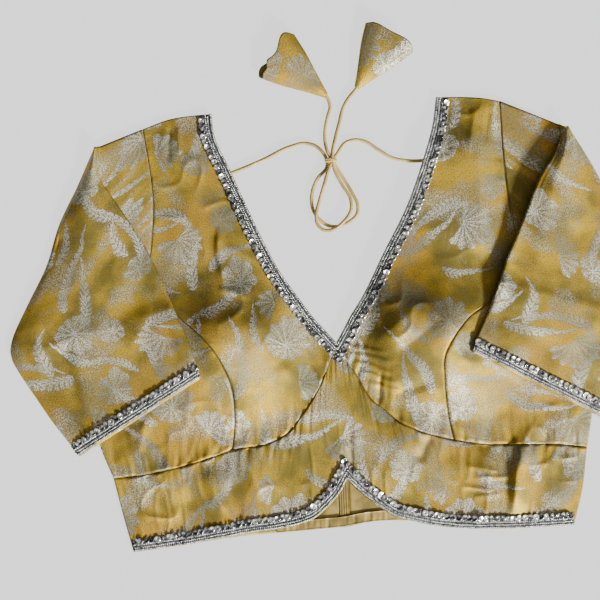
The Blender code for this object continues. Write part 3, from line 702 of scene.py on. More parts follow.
def build_frond_group():
    """A stem along x with slanted leaflets on both sides, in millimetres."""
    w, given, made = start_group(
        "Frond",
        [("X", "f", 0.0), ("Y", "f", 0.0), ("Length", "f", 50.0), ("Leaf", "f", 8.0), ("Spacing", "f", 3.2),
         ("Slant", "f", 0.7), ("Bend", "f", 0.2), ("Fray", "f", 0.5)],
        [("Silver", "f"), ("Haze", "f")],
    )
    s = w.math("DIVIDE", given["X"], given["Length"])
    arc = w.math("MULTIPLY", w.math("MULTIPLY", s, given["X"]), given["Bend"])
    off = w.math("ABSOLUTE", w.math("SUBTRACT", given["Y"], arc))
    hump = w.math("MULTIPLY", w.math("MULTIPLY", s, w.math("SUBTRACT", 1.0, s)), 4.0, clamp=True)
    reach = w.math("MULTIPLY", w.math("POWER", hump, 0.55), given["Leaf"])
    reach = w.math("MULTIPLY", reach, w.math("SUBTRACT", 1.2, w.math("MULTIPLY", s, 0.45)))
    reach = w.math("MAXIMUM", reach, 0.001)
    part = w.math("DIVIDE", off, reach)
    lobe = w.math("SUBTRACT", w.math("MULTIPLY", part, 2.0), 1.0)
    lobe = w.math("SQRT", w.math("MAXIMUM", w.math("SUBTRACT", 1.0, w.math("MULTIPLY", lobe, lobe)), 0.0))
    width = w.math("MULTIPLY", w.math("MULTIPLY", lobe, given["Spacing"]), 0.34)
    width = w.math("ADD", width, w.math("MULTIPLY", w.math("SUBTRACT", given["Fray"], 0.5), 1.6))
    slid = w.math("SUBTRACT", given["X"], w.math("MULTIPLY", off, given["Slant"]))
    from_rib = w.math("PINGPONG", slid, w.math("MULTIPLY", given["Spacing"], 0.5))
    leaf = w.soft_step(w.math("SUBTRACT", width, from_rib), -0.2, 0.25)
    beside_rib = w.math("MULTIPLY", w.soft_step(from_rib, 0.05, 0.4), 0.55)
    leaf = w.math("MULTIPLY", leaf, w.math("ADD", 0.45, beside_rib))
    within = w.soft_step(w.math("SUBTRACT", reach, off), -0.4, 0.8)
    leaf = w.math("MULTIPLY", leaf, within)
    on_length = w.soft_step(hump, 0.0, 0.08)
    on_stem = w.math("MULTIPLY", on_length, w.soft_step(w.math("SUBTRACT", 0.8, off), 0.0, 0.3))
    w.put(made["Silver"], w.math("MAXIMUM", leaf, on_stem, clamp=True))
    w.put(made["Haze"], w.soft_step(w.math("SUBTRACT", w.math("MULTIPLY", reach, 1.15), off), -1.5, 2.5))


def build_placing_group():
    """A pattern's own coordinates: measured from its centre in a repeating tile, turned and scaled."""
    w, given, made = start_group(
        "Placed in the repeat",
        [("Vector", "v", None), ("Centre", "v", None), ("Tile", "v", (160, 190, 1000)), ("Turn", "f", 0.0),
         ("Size", "f", 1.0)],
        [("Vector", "v")],
    )
    half = w.vector("SCALE", given["Tile"], scale=0.5)
    wrapped = w.vector("WRAP", w.vector("SUBTRACT", given["Vector"], given["Centre"]), half,
                       w.vector("SCALE", half, scale=-1.0))
    turn = w.add("ShaderNodeVectorRotate", rotation_type="Z_AXIS")
    w.put(turn.inputs["Vector"], wrapped)
    w.put(turn.inputs["Angle"], given["Turn"])
    w.put(made["Vector"], w.vector("SCALE", turn.outputs[0], scale=w.math("DIVIDE", 1.0, given["Size"])))


def build_blossom_group():
    """Petals that are fronds, turned round a centre: each point is folded on to the nearest petal's rib."""
    w, given, made = start_group(
        "Blossom",
        [("Vector", "v", None), ("Petals", "f", 7.0), ("Radius", "f", 22.0), ("Fan", "f", 3.3),
         ("Fray", "f", 0.5)],
        [("Silver", "f"), ("Haze", "f")],
    )
    x, y, _ = w.split(given["Vector"])
    radius = w.vector("LENGTH", w.combine(x, y))
    angle = w.math("ARCTAN2", y, x)
    step = w.math("DIVIDE", 2 * math.pi, given["Petals"])
    nearest = w.math("MULTIPLY", w.math("ROUND", w.math("DIVIDE", angle, step)), step)
    off = w.math("SUBTRACT", angle, nearest)
    along = w.math("MULTIPLY", radius, w.math("COSINE", off))
    across = w.math("MULTIPLY", radius, w.math("SINE", off))
    # Petals far from the fan's middle are shorter, and past its edge there are none.
    away = w.math("ABSOLUTE", nearest)
    keep = w.soft_step(w.math("SUBTRACT", given["Fan"], away), -0.05, 0.05)
    length = w.math("MULTIPLY", given["Radius"], w.math("SUBTRACT", 1.1, w.math("MULTIPLY", away, 0.16)))
    widest = w.math("MULTIPLY", w.math("MULTIPLY", step, given["Radius"]), 0.52)
    out = w.math("MAXIMUM", w.math("DIVIDE", along, length), 0.0)
    petal = w.group("Frond", X=w.math("MULTIPLY", along, w.math("POWER", out, 0.75)), Y=across, Length=length,
                    Leaf=widest, Spacing=2.6, Slant=1.2, Bend=0.0, Fray=given["Fray"])
    room = w.math("MULTIPLY", along, w.math("TANGENT", w.math("MULTIPLY", step, 0.5)))
    vein = w.soft_step(w.math("SUBTRACT", room, w.math("ABSOLUTE", across)), 0.15, 0.85)
    vein = w.math("MAXIMUM", vein, 0.12)
    heart = w.soft_step(w.math("SUBTRACT", w.math("MULTIPLY", given["Radius"], 0.14), radius), -0.5, 0.5)
    bloom = w.math("MAXIMUM", w.math("MULTIPLY", petal["Silver"], vein), heart)
    w.put(made["Silver"], w.math("MULTIPLY", bloom, keep))
    w.put(made["Haze"], w.math("MULTIPLY", petal["Haze"], keep))


TILE = (150.0, 180.0, 1000.0)
SPRAYS = [  # x, y, turn in degrees, length, leaf, spacing, bend
    (60, 66, 62, 54, 6.6, 3.5, 0.90),
    (22, 44, 128, 45, 6.2, 4.2, -0.90),
    (112, 20, 150, 52, 6.6, 3.6, 0.90),
    (128, 92, 98, 52, 6.2, 4.3, -0.95),
    (30, 118, 20, 45, 6.0, 3.7, 0.80),
    (84, 158, -28, 50, 6.4, 4.1, 0.90),
    (16, 168, 70, 42, 5.6, 3.5, -0.80),
    (84, 10, 75, 38, 5.8, 5.2, 0.60),
    (138, 146, 125, 36, 5.8, 5.0, -0.60),
    (8, 84, 40, 34, 5.6, 4.8, 0.60),
    (104, 128, -60, 34, 5.2, 4.0, 0.80),
    (50, 96, 150, 32, 5.2, 4.4, -0.80),
    (56, 176, 15, 30, 5.0, 3.8, 0.70),
]
BLOSSOMS = [  # x, y, turn in degrees, petals, radius, half angle of the fan
    (82, 96, 70, 11, 23, 3.3),
    (98, 62, 15, 14, 20, 1.5),
    (44, 22, 240, 9, 20, 3.3),
    (34, 142, 110, 8, 18, 3.3),
    (126, 172, -40, 15, 24, 1.75),
    (132, 56, 100, 7, 15, 3.3),
    (68, 128, 190, 12, 16, 1.4),
    (10, 12, 20, 7, 13, 3.3),
]


def after(w, vector, *values):
    """The vector moved by a ten-thousandth of these values.

    It makes the renderer work one motif out before the next, because all at once don't fit on its stack.
    """
    total = values[0]
    for value in values[1:]:
        total = w.math("ADD", total, value)
    return w.vector("ADD", vector, w.combine(w.math("MULTIPLY", total, 1e-4), 0.0))


def placed(w, flat, x, y, turn):
    """The cloth's coordinates measured from a motif's own place, and turned with it."""
    return w.group("Placed in the repeat", Vector=flat, Centre=(x, y, 0), Tile=TILE,
                   Turn=-math.radians(turn))["Vector"]


def build_figure_group():
    """The woven figure: sprays and blossoms set one by one in a repeat, in silver thread, with hazy ground."""
    w, given, made = start_group("Floral figure", [("Vector", "v", None)], [("Silver", "f"), ("Haze", "f")])
    warp = w.add("ShaderNodeTexNoise")
    w.put(warp.inputs["Vector"], w.vector("SCALE", given["Vector"], scale=0.03))
    w.put(warp.inputs["Scale"], 1.0)
    shift = w.vector("SCALE", w.vector("SUBTRACT", warp.outputs["Color"], (0.5, 0.5, 0.5)), scale=14.0)
    flat = w.vector("ADD", given["Vector"], shift)
    fray = w.noise(flat, 0.75, 2.0, 0.6)
    silver = haze = 0.0
    for x, y, turn, length, leaf, spacing, bend in SPRAYS:
        across, up, _ = w.split(placed(w, flat, x, y, turn))
        # The stem starts half its length back, so the spray is centred on its place.
        frond = w.group("Frond", X=w.math("ADD", across, length / 2), Y=up, Length=float(length),
                        Leaf=float(leaf), Spacing=float(spacing), Slant=0.8, Bend=bend, Fray=fray)
        silver = w.math("MAXIMUM", silver, frond["Silver"])
        haze = w.math("MAXIMUM", haze, frond["Haze"])
        flat = after(w, flat, silver, haze)
    for x, y, turn, petals, radius, fan in BLOSSOMS:
        bloom = w.group("Blossom", Vector=placed(w, flat, x, y, turn), Petals=float(petals),
                        Radius=float(radius), Fan=fan, Fray=fray)
        silver = w.math("MAXIMUM", silver, bloom["Silver"])
        haze = w.math("MAXIMUM", haze, bloom["Haze"])
        flat = after(w, flat, silver, haze)
    w.put(made["Silver"], silver)
    w.put(made["Haze"], haze)


def build_satin_group():
    """Fine satin threads: a height for the bump and an uneven tone, in millimetres of cloth."""
    w, given, made = start_group("Satin threads", [("Vector", "v", None), ("Pitch", "f", 0.55)],
                                 [("Height", "f"), ("Tone", "f")])
    x, y, _ = w.split(given["Vector"])
    slub = w.noise(w.combine(w.math("MULTIPLY", x, 0.25), w.math("MULTIPLY", y, 2.2)), 1.0, 3.0, 0.6)
    warp_threads = w.math("PINGPONG", w.math("DIVIDE", x, given["Pitch"]), 0.5)
    weft = w.math("PINGPONG", w.math("DIVIDE", y, w.math("MULTIPLY", given["Pitch"], 1.3)), 0.5)
    threads = w.math("ADD", w.math("MULTIPLY", warp_threads, 1.2), w.math("MULTIPLY", weft, 0.6))
    w.put(made["Height"], w.math("ADD", threads, slub))
    w.put(made["Tone"], slub)


def new_material(name, rough=0.5, metal=0.0, sheen=0.0):
    made = bpy.data.materials.new(name)
    made.use_nodes = True
    w = Wiring(made.node_tree)
    surface = made.node_tree.nodes["Principled BSDF"]
    surface.inputs["Roughness"].default_value = rough
    surface.inputs["Metallic"].default_value = metal
    surface.inputs["Sheen Weight"].default_value = sheen
    return made, w, surface.inputs


def cloth_coordinates(w):
    """The piece's own flat coordinates, in millimetres."""
    uv = w.add("ShaderNodeUVMap", uv_map="Cloth")
    return w.vector("SCALE", uv.outputs[0], scale=1000.0)


def build_filler_group():
    """Small leaf-like cells of silver thread, in drifts between the motifs."""
    w, given, made = start_group("Filler", [("Vector", "v", None)], [("Silver", "f"), ("Drift", "f")])
    drift = w.soft_step(w.noise(given["Vector"], 0.024, 2.0, 0.5), 0.50, 0.61)
    cells = w.add("ShaderNodeTexVoronoi", feature="DISTANCE_TO_EDGE")
    w.put(cells.inputs["Vector"], w.vector("MULTIPLY", given["Vector"], (1.0, 0.55, 1.0)))
    w.put(cells.inputs["Scale"], 0.6)
    leaf = w.soft_step(cells.outputs["Distance"], 0.07, 0.2)
    w.put(made["Silver"], w.math("MULTIPLY", leaf, drift))
    w.put(made["Drift"], drift)


def brocade_material(colours):
    """Gold satin with a silver figure, whose threads are broken up, with painted light and shade: motifs
    painted lit or grey by turns, and lit and shaded golds in patches.
    """
    made, w, surface = new_material("Gold brocade", rough=0.42)
    surface["Specular IOR Level"].default_value = 0.3
    surface["Specular Tint"].default_value = (*colours.gold_gleam, 1)
    flat = cloth_coordinates(w)
    figure = w.group("Floral figure", Vector=flat)
    filler = w.group("Filler", Vector=flat)
    satin = w.group("Satin threads", Vector=flat)
    shade_cloud = w.noise(flat, 0.022, 3.0, 0.55)
    second = w.noise(w.vector("ADD", flat, (310.0, 120.0, 40.0)), 0.016, 2.0, 0.5)
    grain = w.noise(flat, 0.95, 3.0, 0.8)
    # Painted shade: the lit gold and its shaded olive copy blend in slow random patches, and the satin's slubs
    # lean to the shaded copy.
    ground = w.mix(w.soft_step(shade_cloud, 0.36, 0.64), colours.gold_shade, colours.gold)
    ground = w.mix(w.math("MULTIPLY", w.soft_step(second, 0.48, 0.68), 0.7), ground, colours.gold_warm)
    ground = w.mix(w.math("MULTIPLY", satin["Tone"], 0.25), ground, colours.gold_shade)
    # Painted shade: the gold is painted dark where the grain is low, in the hollows of its bump, over the
    # grain's own tone.
    ground = w.mix(w.math("MULTIPLY", w.soft_step(grain, 0.56, 0.38), 0.72), ground, colours.gold_grain_shade)
    # Scattered figure threads float over the ground near each motif.
    near = w.math("MAXIMUM", figure["Haze"], w.math("MULTIPLY", filler["Drift"], 0.8))
    speck = w.math("MULTIPLY", w.soft_step(grain, 0.5, 0.6), w.math("MULTIPLY", near, 0.5))
    pepper = w.blend(w.soft_step(grain, 0.42, 0.56), 0.10, 1.0)
    silver = w.math("MULTIPLY", figure["Silver"], pepper)
    silver = w.math("MAXIMUM", silver, w.math("MULTIPLY", w.math("MULTIPLY", filler["Silver"], pepper), 0.62))
    silver = w.math("MAXIMUM", silver, speck, clamp=True)
    dull = w.mix(w.math("MULTIPLY", near, 0.48), ground, colours.haze)
    # Painted reflection: whole motifs are painted as lit silver thread, or as the grey of its shade, in slow
    # patches.
    bright = w.soft_step(w.noise(w.vector("ADD", flat, (70.0, 40.0, 9.0)), 0.019, 2.0, 0.5), 0.38, 0.62)
    bright = w.math("MULTIPLY", bright, w.blend(w.soft_step(grain, 0.48, 0.62), 0.55, 1.0))
    thread = w.mix(bright, colours.silver_shade, colours.silver)
    w.put(surface["Base Color"], w.mix(silver, dull, thread))
    w.put(surface["Metallic"], w.blend(silver, 0.55, 0.5))
    w.put(surface["Roughness"], w.blend(silver, w.blend(satin["Tone"], 0.46, 0.62), 0.50))
    # The figure isn't in the height, which the renderer works out three times over.
    height = w.math("ADD", w.math("MULTIPLY", satin["Height"], 0.30), w.math("MULTIPLY", grain, 0.9))
    w.put(surface["Normal"], w.bump(height, 0.55, 0.0004))
    return made


def lining_material(colours):
    made, w, surface = new_material("Olive gold lining", rough=0.45, metal=0.35, sheen=0.1)
    flat = cloth_coordinates(w)
    satin = w.group("Satin threads", Vector=flat, Pitch=0.5)
    shade_cloud = w.noise(flat, 0.05, 3.0, 0.55)
    # Painted shade: the lining and its shaded copy blend in random patches, and the satin's slubs lean to the
    # shaded copy.
    tone = w.mix(w.soft_step(shade_cloud, 0.35, 0.65), colours.lining_shade, colours.lining)
    w.put(surface["Base Color"], w.mix(w.math("MULTIPLY", satin["Tone"], 0.3), tone, colours.lining_shade))
    w.put(surface["Roughness"], w.blend(satin["Tone"], 0.4, 0.55))
    w.put(surface["Normal"], w.bump(satin["Height"], 0.25, 0.0003))
    return made


def tape_material(colours):
    made, w, surface = new_material("Grey lace tape", rough=0.7)
    flat = cloth_coordinates(w)
    net = w.noise(flat, 1.1, 2.0, 0.6)
    w.put(surface["Base Color"], w.mix(w.soft_step(net, 0.45, 0.7), colours.tape, colours.braid_dark))
    w.put(surface["Normal"], w.bump(net, 0.6, 0.0004))
    return made


def braid_material(colours):
    made, w, surface = new_material("Silver braid", rough=0.34, metal=0.85)
    place = w.add("ShaderNodeTexCoord").outputs["Object"]
    # Painted glints: the braid's beads are speckled dark and bright at random, for the sparkle of metal thread.
    painted_glints = w.noise(place, 420.0, 3.0, 0.7)
    w.put(surface["Base Color"], w.mix(w.soft_step(painted_glints, 0.34, 0.62), colours.braid_dark, colours.braid))
    w.put(surface["Roughness"], w.blend(painted_glints, 0.25, 0.5))
    w.put(surface["Normal"], w.bump(w.noise(place, 2600.0, 1.0, 0.5), 0.3, 0.0002))
    return made


def sequin_material(colours):
    made, w, surface = new_material("Silver sequins", rough=0.16, metal=0.95)
    place = w.add("ShaderNodeTexCoord").outputs["Object"]
    # Painted reflection: sequins are painted bright or dark in small random patches, as if each caught the
    # light or not.
    sequin_gleam = w.noise(place, 190.0, 1.0, 0.5)
    w.put(surface["Base Color"], w.mix(w.soft_step(sequin_gleam, 0.40, 0.55), colours.sequin_shade, colours.sequin))
    w.put(surface["Roughness"], w.blend(sequin_gleam, 0.12, 0.34))
    return made


def cord_material(colours):
    made, w, surface = new_material("Satin cord", rough=0.42, metal=0.1, sheen=0.3)
    place = w.add("ShaderNodeTexCoord").outputs["Object"]
    tone = w.noise(place, 55.0, 2.0, 0.5)
    fine = w.noise(place, 1500.0, 2.0, 0.6)
    # Painted shade: the cord and its shaded copy blend in random patches along it.
    w.put(surface["Base Color"], w.mix(w.soft_step(tone, 0.35, 0.65), colours.cord_shade, colours.cord))
    w.put(surface["Roughness"], w.blend(fine, 0.35, 0.6))
    w.put(surface["Normal"], w.bump(fine, 0.3, 0.0003))
    return made


def floor_material(colours):
    """An evenly lit backdrop: it mostly glows by itself, so shadows on it stay faint."""
    made, _, surface = new_material("Pale floor", rough=0.9)
    surface["Base Color"].default_value = (*(FLOOR_MATT * c for c in colours.floor), 1)
    surface["Emission Color"].default_value = (*colours.floor, 1)
    surface["Emission Strength"].default_value = FLOOR_GLOW
    surface["Specular IOR Level"].default_value = 0.0
    return made


# ---------------------------------------------------------------- settings

def colour(name, description, default):
    return FloatVectorProperty(name=name, description=description, subtype="COLOR", size=3, min=0, max=1,
                               default=default)


class CholiColours(bpy.types.PropertyGroup):
    gold: colour("Gold", "Lit satin ground", (0.66, 0.43, 0.036))
    # Gold shade is the ground's shaded olive copy, painted in patches as shade.
    gold_shade: colour("Gold shade", "Olive cast of the ground", (0.20, 0.155, 0.028))
    # Dark gold is painted shade in the hollows of the grain, and part of the grain's own tone.
    gold_grain_shade: colour("Dark gold", "Gold in the hollows of the weave", (0.09, 0.07, 0.022))
    gold_warm: colour("Warm gold", "Orange cast of the ground", (0.68, 0.385, 0.038))
    gold_gleam: colour("Gold gleam", "Tint of the satin's highlights", (1.0, 0.86, 0.55))
    silver: colour("Figure", "Silver thread of the figure", (0.95, 0.95, 0.86))
    # Figure shade is the grey of the silver thread in painted shade.
    silver_shade: colour("Figure shade", "Darker silver thread", (0.26, 0.275, 0.235))
    haze: colour("Haze", "Ground between the figure's threads", (0.12, 0.11, 0.045))
    lining: colour("Lining", "Inside of the cloth", (0.50, 0.37, 0.10))
    # Lining shade is the lining's shaded copy, painted in patches as shade.
    lining_shade: colour("Lining shade", "Darker lining", (0.22, 0.155, 0.035))
    tape: colour("Tape", "Ground of the sequin lace", (0.045, 0.047, 0.05))
    braid: colour("Braid", "Silver braid", (0.66, 0.67, 0.65))
    # Dark braid is the dark of the braid's painted glints, and the net on the lace tape.
    braid_dark: colour("Dark braid", "Tarnish on the braid", (0.07, 0.075, 0.08))
    sequin: colour("Sequin", "Sequins", (0.82, 0.83, 0.82))
    # Dark sequin is the painted shade of sequins that don't catch the light.
    sequin_shade: colour("Dark sequin", "Dull side of the sequins", (0.17, 0.18, 0.19))
    cord: colour("Cord", "Tie cord", (0.60, 0.43, 0.12))
    # Cord shade is the cord's shaded copy, painted in patches as shade.
    cord_shade: colour("Cord shade", "Tie cord in the twist", (0.36, 0.25, 0.06))
    floor: colour("Floor", "Backdrop that the blouse lies on", (0.72, 0.72, 0.72))


class CholiSizes(bpy.types.PropertyGroup):
    trim_width: FloatProperty(
        name="Trim width", description="Width of the sequin lace, in millimetres",
        default=13.0, min=6.0, max=20.0)
    sequin: FloatProperty(
        name="Sequin", description="Diameter of a sequin, in millimetres", default=5.6, min=2.0, max=8.0)
    sequin_step: FloatProperty(
        name="Sequin spacing", description="From one sequin to the next, in millimetres",
        default=4.8, min=1.0, max=10.0)
    stitch_step: FloatProperty(
        name="Braid stitch", description="From one braid stitch to the next, in millimetres",
        default=1.75, min=0.8, max=4.0)
    tassel_pleats: IntProperty(
        name="Tassel pleats", description="Gathers round a tassel", default=5, min=3, max=24)


# ---------------------------------------------------------------- pieces

def materials():
    names = ("Gold brocade", "Olive gold lining", "Grey lace tape", "Silver braid", "Silver sequins",
             "Satin cord")
    return {name: bpy.data.materials[name] for name in names}


def cloth_pair():
    finish = materials()
    return finish["Gold brocade"], finish["Olive gold lining"]


def step_edges(grid, gap=0.2, last_gap=0.2):
    """The grid with its edges stepped in by half a seam's gap. The last edge has one of its own."""
    g = grid.copy()
    for edge, inner, inset in ((g[0], g[1], gap), (g[-1], g[-2], gap), (g[:, 0], g[:, 1], gap),
                               (g[:, -1], g[:, -2], last_gap)):
        step = inner - edge
        edge += step * (inset / np.linalg.norm(step, axis=-1))[..., None]
    return g


def bust_grid(side):
    outer = join(smooth(ARMHOLE_UPPER[side], 92), smooth(PRINCESS[side], 92))
    return patch(smooth(SHOULDER[side], 84), smooth(CUP_SEAM[side], 84), smooth(NECK[side], len(outer)),
                 outer)


def front_piece(name, grid, seams, degrees, shift):
    """A front panel: the front's own height, less a groove and gathers along each seam in the list."""
    x, y = grid[..., 0], grid[..., 1]
    top = front_top(x, y)
    for edge, seed, depth, reach in seams:
        away, along = edge_distances(grid, edge)
        top = top + pucker(away, along, seed, depth, reach) * bare(x, y)
    stepped = step_edges(grid)
    outside, inside = cloth_pair()
    obj = wall(f"{name}_cloth", lifted(stepped, top - SHELL), lifted(stepped, top),
               turned(grid, degrees, shift), outside, inside)
    put_in_place(obj, "brocade", name)
    return obj, grid


class CHOLI_OT_finishes(bpy.types.Operator):
    """Makes the node groups and the materials"""

    bl_idname = "choli.finishes"
    bl_label = "Finishes"

    def execute(self, context):
        for build in (build_frond_group, build_placing_group, build_blossom_group, build_figure_group,
                      build_filler_group, build_satin_group):
            build()
        colours = context.scene.choli_colours
        for make in (brocade_material, lining_material, tape_material, braid_material, sequin_material,
                     cord_material, floor_material):
            make(colours)
        return {"FINISHED"}


class CHOLI_OT_fronts(bpy.types.Operator):
    """Front bust panels, side panels and the midriff band"""

    bl_idname = "choli.fronts"
    bl_label = "Front panels"

    def execute(self, context):
        for number, side in enumerate(("left", "right")):
            seed = 40 + 10 * number
            obj, grid = front_piece(f"front_bust_{side}", bust_grid(side),
                                    [("bottom", seed, 1.2, 14.0), ("last", seed + 2, 0.5, 8.0)],
                                    (12, -16)[number], (40 * number, 0))
            grid = patch(smooth(ARMHOLE_LOWER[side], 76), smooth(WAIST[side], 76), smooth(PRINCESS[side], 92),
                         smooth(SIDE[side], 92))
            obj, grid = front_piece(f"front_side_{side}", grid,
                                    [("bottom", seed + 4, 1.5, 20.0), ("first", seed + 6, 0.5, 8.0)],
                                    (-24, 28)[number], (90, 60 + 30 * number))
        halves = []
        for side in ("left", "right"):
            top = join(smooth(CUP_SEAM[side], 96), smooth(WAIST[side], 76))
            hem = spread(smooth(HEM[side], 400), np.linspace(0, 1, len(top)) ** 0.94)
            halves.append(patch(smooth([CUP_SEAM[side][0], HEM[side][0]], 80),
                                smooth(LOW_SIDE[side], 80), top, hem).transpose(1, 0, 2))
        grid = np.concatenate([halves[0][:, :0:-1], halves[1]], axis=1)
        obj, grid = front_piece("front_midriff", grid, [("top", 71, 1.3, 14.0)], 4, (20, 30))
        return {"FINISHED"}


class CHOLI_OT_backs(bpy.types.Operator):
    """Back panels, placket and hem facing"""

    bl_idname = "choli.backs"
    bl_label = "Back"

    def execute(self, context):
        outside, inside = cloth_pair()
        for side in ("left", "right"):
            away = -1 if side == "left" else 1
            centre = smooth(CENTRE_BACK, 60) + (away * (PLACKET_WIDTH / 2 + 0.2), 0)
            inner = join(smooth(BACK_NECK[side][:-1] + [tuple(centre[0])], 120), centre)
            outer = join(smooth(ARMHOLE_UPPER[side], 62), smooth(ARMHOLE_LOWER[side], 40),
                         smooth(SIDE[side], 46), smooth(LOW_SIDE[side], 34))
            hem = smooth([tuple(centre[-1])] + BACK_HEM[side][1:], 80)
            grid = patch(smooth(SHOULDER[side], 80), hem, inner, outer)
            stepped = step_edges(grid, last_gap=-0.3)
            x, y = grid[..., 0], grid[..., 1]
            drift = 0.22 * lattice_noise(x, y, 11, 21) + 0.16 * lattice_noise(x, y * 0.2, 3.2, 22) * np.exp(
                -np.abs(y + 48) / 12)
            obj = wall(f"back_{side}_cloth", lifted(stepped, 0.0), lifted(stepped, CLOTH - 0.15 + drift),
                       turned(grid, 6 * away, (30, 0)), inside, outside)
            put_in_place(obj, "brocade", f"back_{side}")
        self.placket(inside)
        self.facing(inside)
        return {"FINISHED"}

    def placket(self, finish):
        """A strip with four stitched ridges along it."""
        across = np.linspace(-0.5, 0.5, 40)
        grid = smooth(CENTRE_BACK, 120)[:, None] + across[None, :, None] * (PLACKET_WIDTH + 0.8, 0)
        ridge = 0.5 * np.abs(np.cos(math.pi * 4 * across)) ** 0.6
        top = CLOTH + 0.15 + ridge[None, :] + 0.16 * lattice_noise(grid[..., 0], grid[..., 1], 5, 31)
        obj = wall("back_placket_strip", lifted(grid, 0.02), lifted(grid, top), turned(grid, 0),
                   finish, finish)
        put_in_place(obj, "lining", "back_placket")

    def facing(self, finish):
        """A gathered strip: its height is a row of fine ridges across it."""
        hem = join(smooth(BACK_HEM["left"], 200)[::-1], smooth(BACK_HEM["right"], 200))
        shown = (hem[:, 0] > FACING_REACH["left"]) & (hem[:, 0] < FACING_REACH["right"])
        low_edge = spread(hem[shown], np.linspace(0, 1, 360)) + (0, 0.5)
        across = np.linspace(0, 1, 24)
        grid = low_edge[:, None] + across[None, :, None] * (0, FACING_WIDTH)
        gather = 0.7 * lattice_noise(grid[..., 0], grid[..., 1] * 0.12, 2.6, 33)
        gather = gather * np.sin(math.pi * across) ** 0.5
        edge = 0.25 * (np.exp(-((across - 0.96) / 0.05) ** 2) + np.exp(-((across - 0.06) / 0.06) ** 2))
        top = CLOTH + 1.3 + gather + edge
        obj = wall("back_hem_facing_strip", lifted(grid, CLOTH + 0.35), lifted(grid, top), turned(grid, 0),
                   finish, finish)
        put_in_place(obj, "lining", "back_hem_facing")


def lowest_layer(x, y):
    """Height of the sleeve's lower layer: on the floor outside the body, and on the front inside it."""
    far, near = CLIMB
    over = ease((inside_distance(x, y) + far) / (far - near))
    return CLOTH / 2 + over * (front_height(x, y) + CLOTH + SLEEVE_GAP)


def underarm(seam):
    """1 round the underarm, where the armhole ends and the sleeve's own seam starts, and 0 away from it."""
    return ease((seam - 0.8) / 0.2) * ease((1.5 - seam) / 0.5)


def half_turn(centre, outward, low, high, up):
    """A half circle from one layer to the next, bulging outward."""
    radius = (high - low) / 2
    angle = np.linspace(0, math.pi, TURN_POINTS + 2)[1:-1]
    if not up:
        angle = angle[::-1]
    flat = centre + outward * (radius * np.sin(angle))[:, None]
    return np.column_stack([flat, low + radius * (1 - np.cos(angle))])


def sleeve_section(armhole, seam_line, row, fold_rise):
    """Front armhole seam, tuck under the fold, front fold, top layer, outer fold, floor layer, back seam."""
    seam, tuck, fold_x, fold_y, outer_x, outer_y, puff = row
    seam, tuck, puff = min(max(seam, 0.0), 2.0), max(tuck, 0.0), max(puff, 0.0)
    fold, outer = np.array([fold_x, fold_y]), np.array([outer_x, outer_y])
    out = unit(outer - fold)
    lift = UNDERARM_LIFT * underarm(seam)
    if seam <= 1:
        start = spread(armhole, [seam])[0] + SLEEVE_SEAM * out
        floor_end = start + UNDERARM_PULL * underarm(seam) * out
    else:
        start = spread(seam_line, [seam - 1])[0]
        floor_end = start + 0.45 * out
    turn = fold + FRONT_TURN * out
    tucked = start + max(tuck, 2.0) * unit(outer - start)
    fold_rise = fold_rise * ease(seam / 0.2) * ease((1.5 - seam) / 0.5)

    if seam <= 1:
        back = line(tucked, turn, PLEAT_POINTS)
        near = np.exp(-np.linalg.norm(back - tucked, axis=1) / LIFT_FADE)
        heights = front_height(back[:, 0], back[:, 1]) + 1.5 * CLOTH + SLEEVE_GAP + lift * near
        heights = heights + fold_rise * np.exp(-np.linalg.norm(back - turn, axis=1) / RISE_FADE_BELOW)
        first = CLOTH * 1.5 + 0.5 + lift
        pleat = np.concatenate([
            np.column_stack([line(start, tucked, PLEAT_POINTS), np.full(PLEAT_POINTS, first)]),
            half_turn(tucked, unit(outer - start), first, heights[0], True),
            np.column_stack([back, heights]),
        ])
    else:
        back = line(start, turn, PLEAT_POINTS)
        heights = lowest_layer(back[:, 0], back[:, 1]) + lift * np.exp(-np.arange(PLEAT_POINTS) / 12.0)
        heights = heights + fold_rise * np.exp(-np.linalg.norm(back - turn, axis=1) / RISE_FADE_BELOW)
        pleat = np.column_stack([back, heights])
    pleat = spread(pleat, np.linspace(0, 1, PLEAT_POINTS))

    rise = pleat[-1, 2] + 2 * FRONT_TURN
    front_turn = half_turn(turn, -out, pleat[-1, 2], rise, True)
    outer_centre = outer - (OUTER_TURN + CLOTH / 2) * out
    top = line(turn, outer_centre, TOP_POINTS)
    down = np.linalg.norm(top - turn, axis=1)
    whole = down[-1]
    if seam <= 1:
        covered = np.linalg.norm(tucked - turn)
        beyond = ease((down - covered) / max(whole - covered, 1.0))
        under = front_height(top[:, 0], top[:, 1]) + 1.5 * CLOTH + SLEEVE_GAP + lift
        under = under * (1 - beyond) + CLOTH / 2 * beyond
    else:
        under = lowest_layer(top[:, 0], top[:, 1]) + lift * (1 - down / whole)
    spacing = 2 * FRONT_TURN + (2 * OUTER_TURN - 2 * FRONT_TURN) * down / whole
    crown = puff * np.clip(np.sin(math.pi * down / whole), 0, 1) ** 0.7
    crown = crown + fold_rise * np.exp(-down / RISE_FADE_TOP)
    over = np.column_stack([top, under + spacing + crown])
    over[0, 2] = rise
    over[-1, 2] = CLOTH / 2 + 2 * OUTER_TURN

    floor = line(outer_centre, floor_end, FLOOR_POINTS)
    if seam <= 1:
        left = np.linalg.norm(floor - floor_end, axis=1)
        ground = CLOTH / 2 + lift * np.exp(-((left / 9) ** 2))
    else:
        ground = lowest_layer(floor[:, 0], floor[:, 1]) + lift * 0.4
    ground[0] = CLOTH / 2
    outer_turn = half_turn(outer_centre, out, CLOTH / 2, over[-1, 2], False)
    return np.concatenate([pleat, front_turn, over, outer_turn, np.column_stack([floor, ground])])


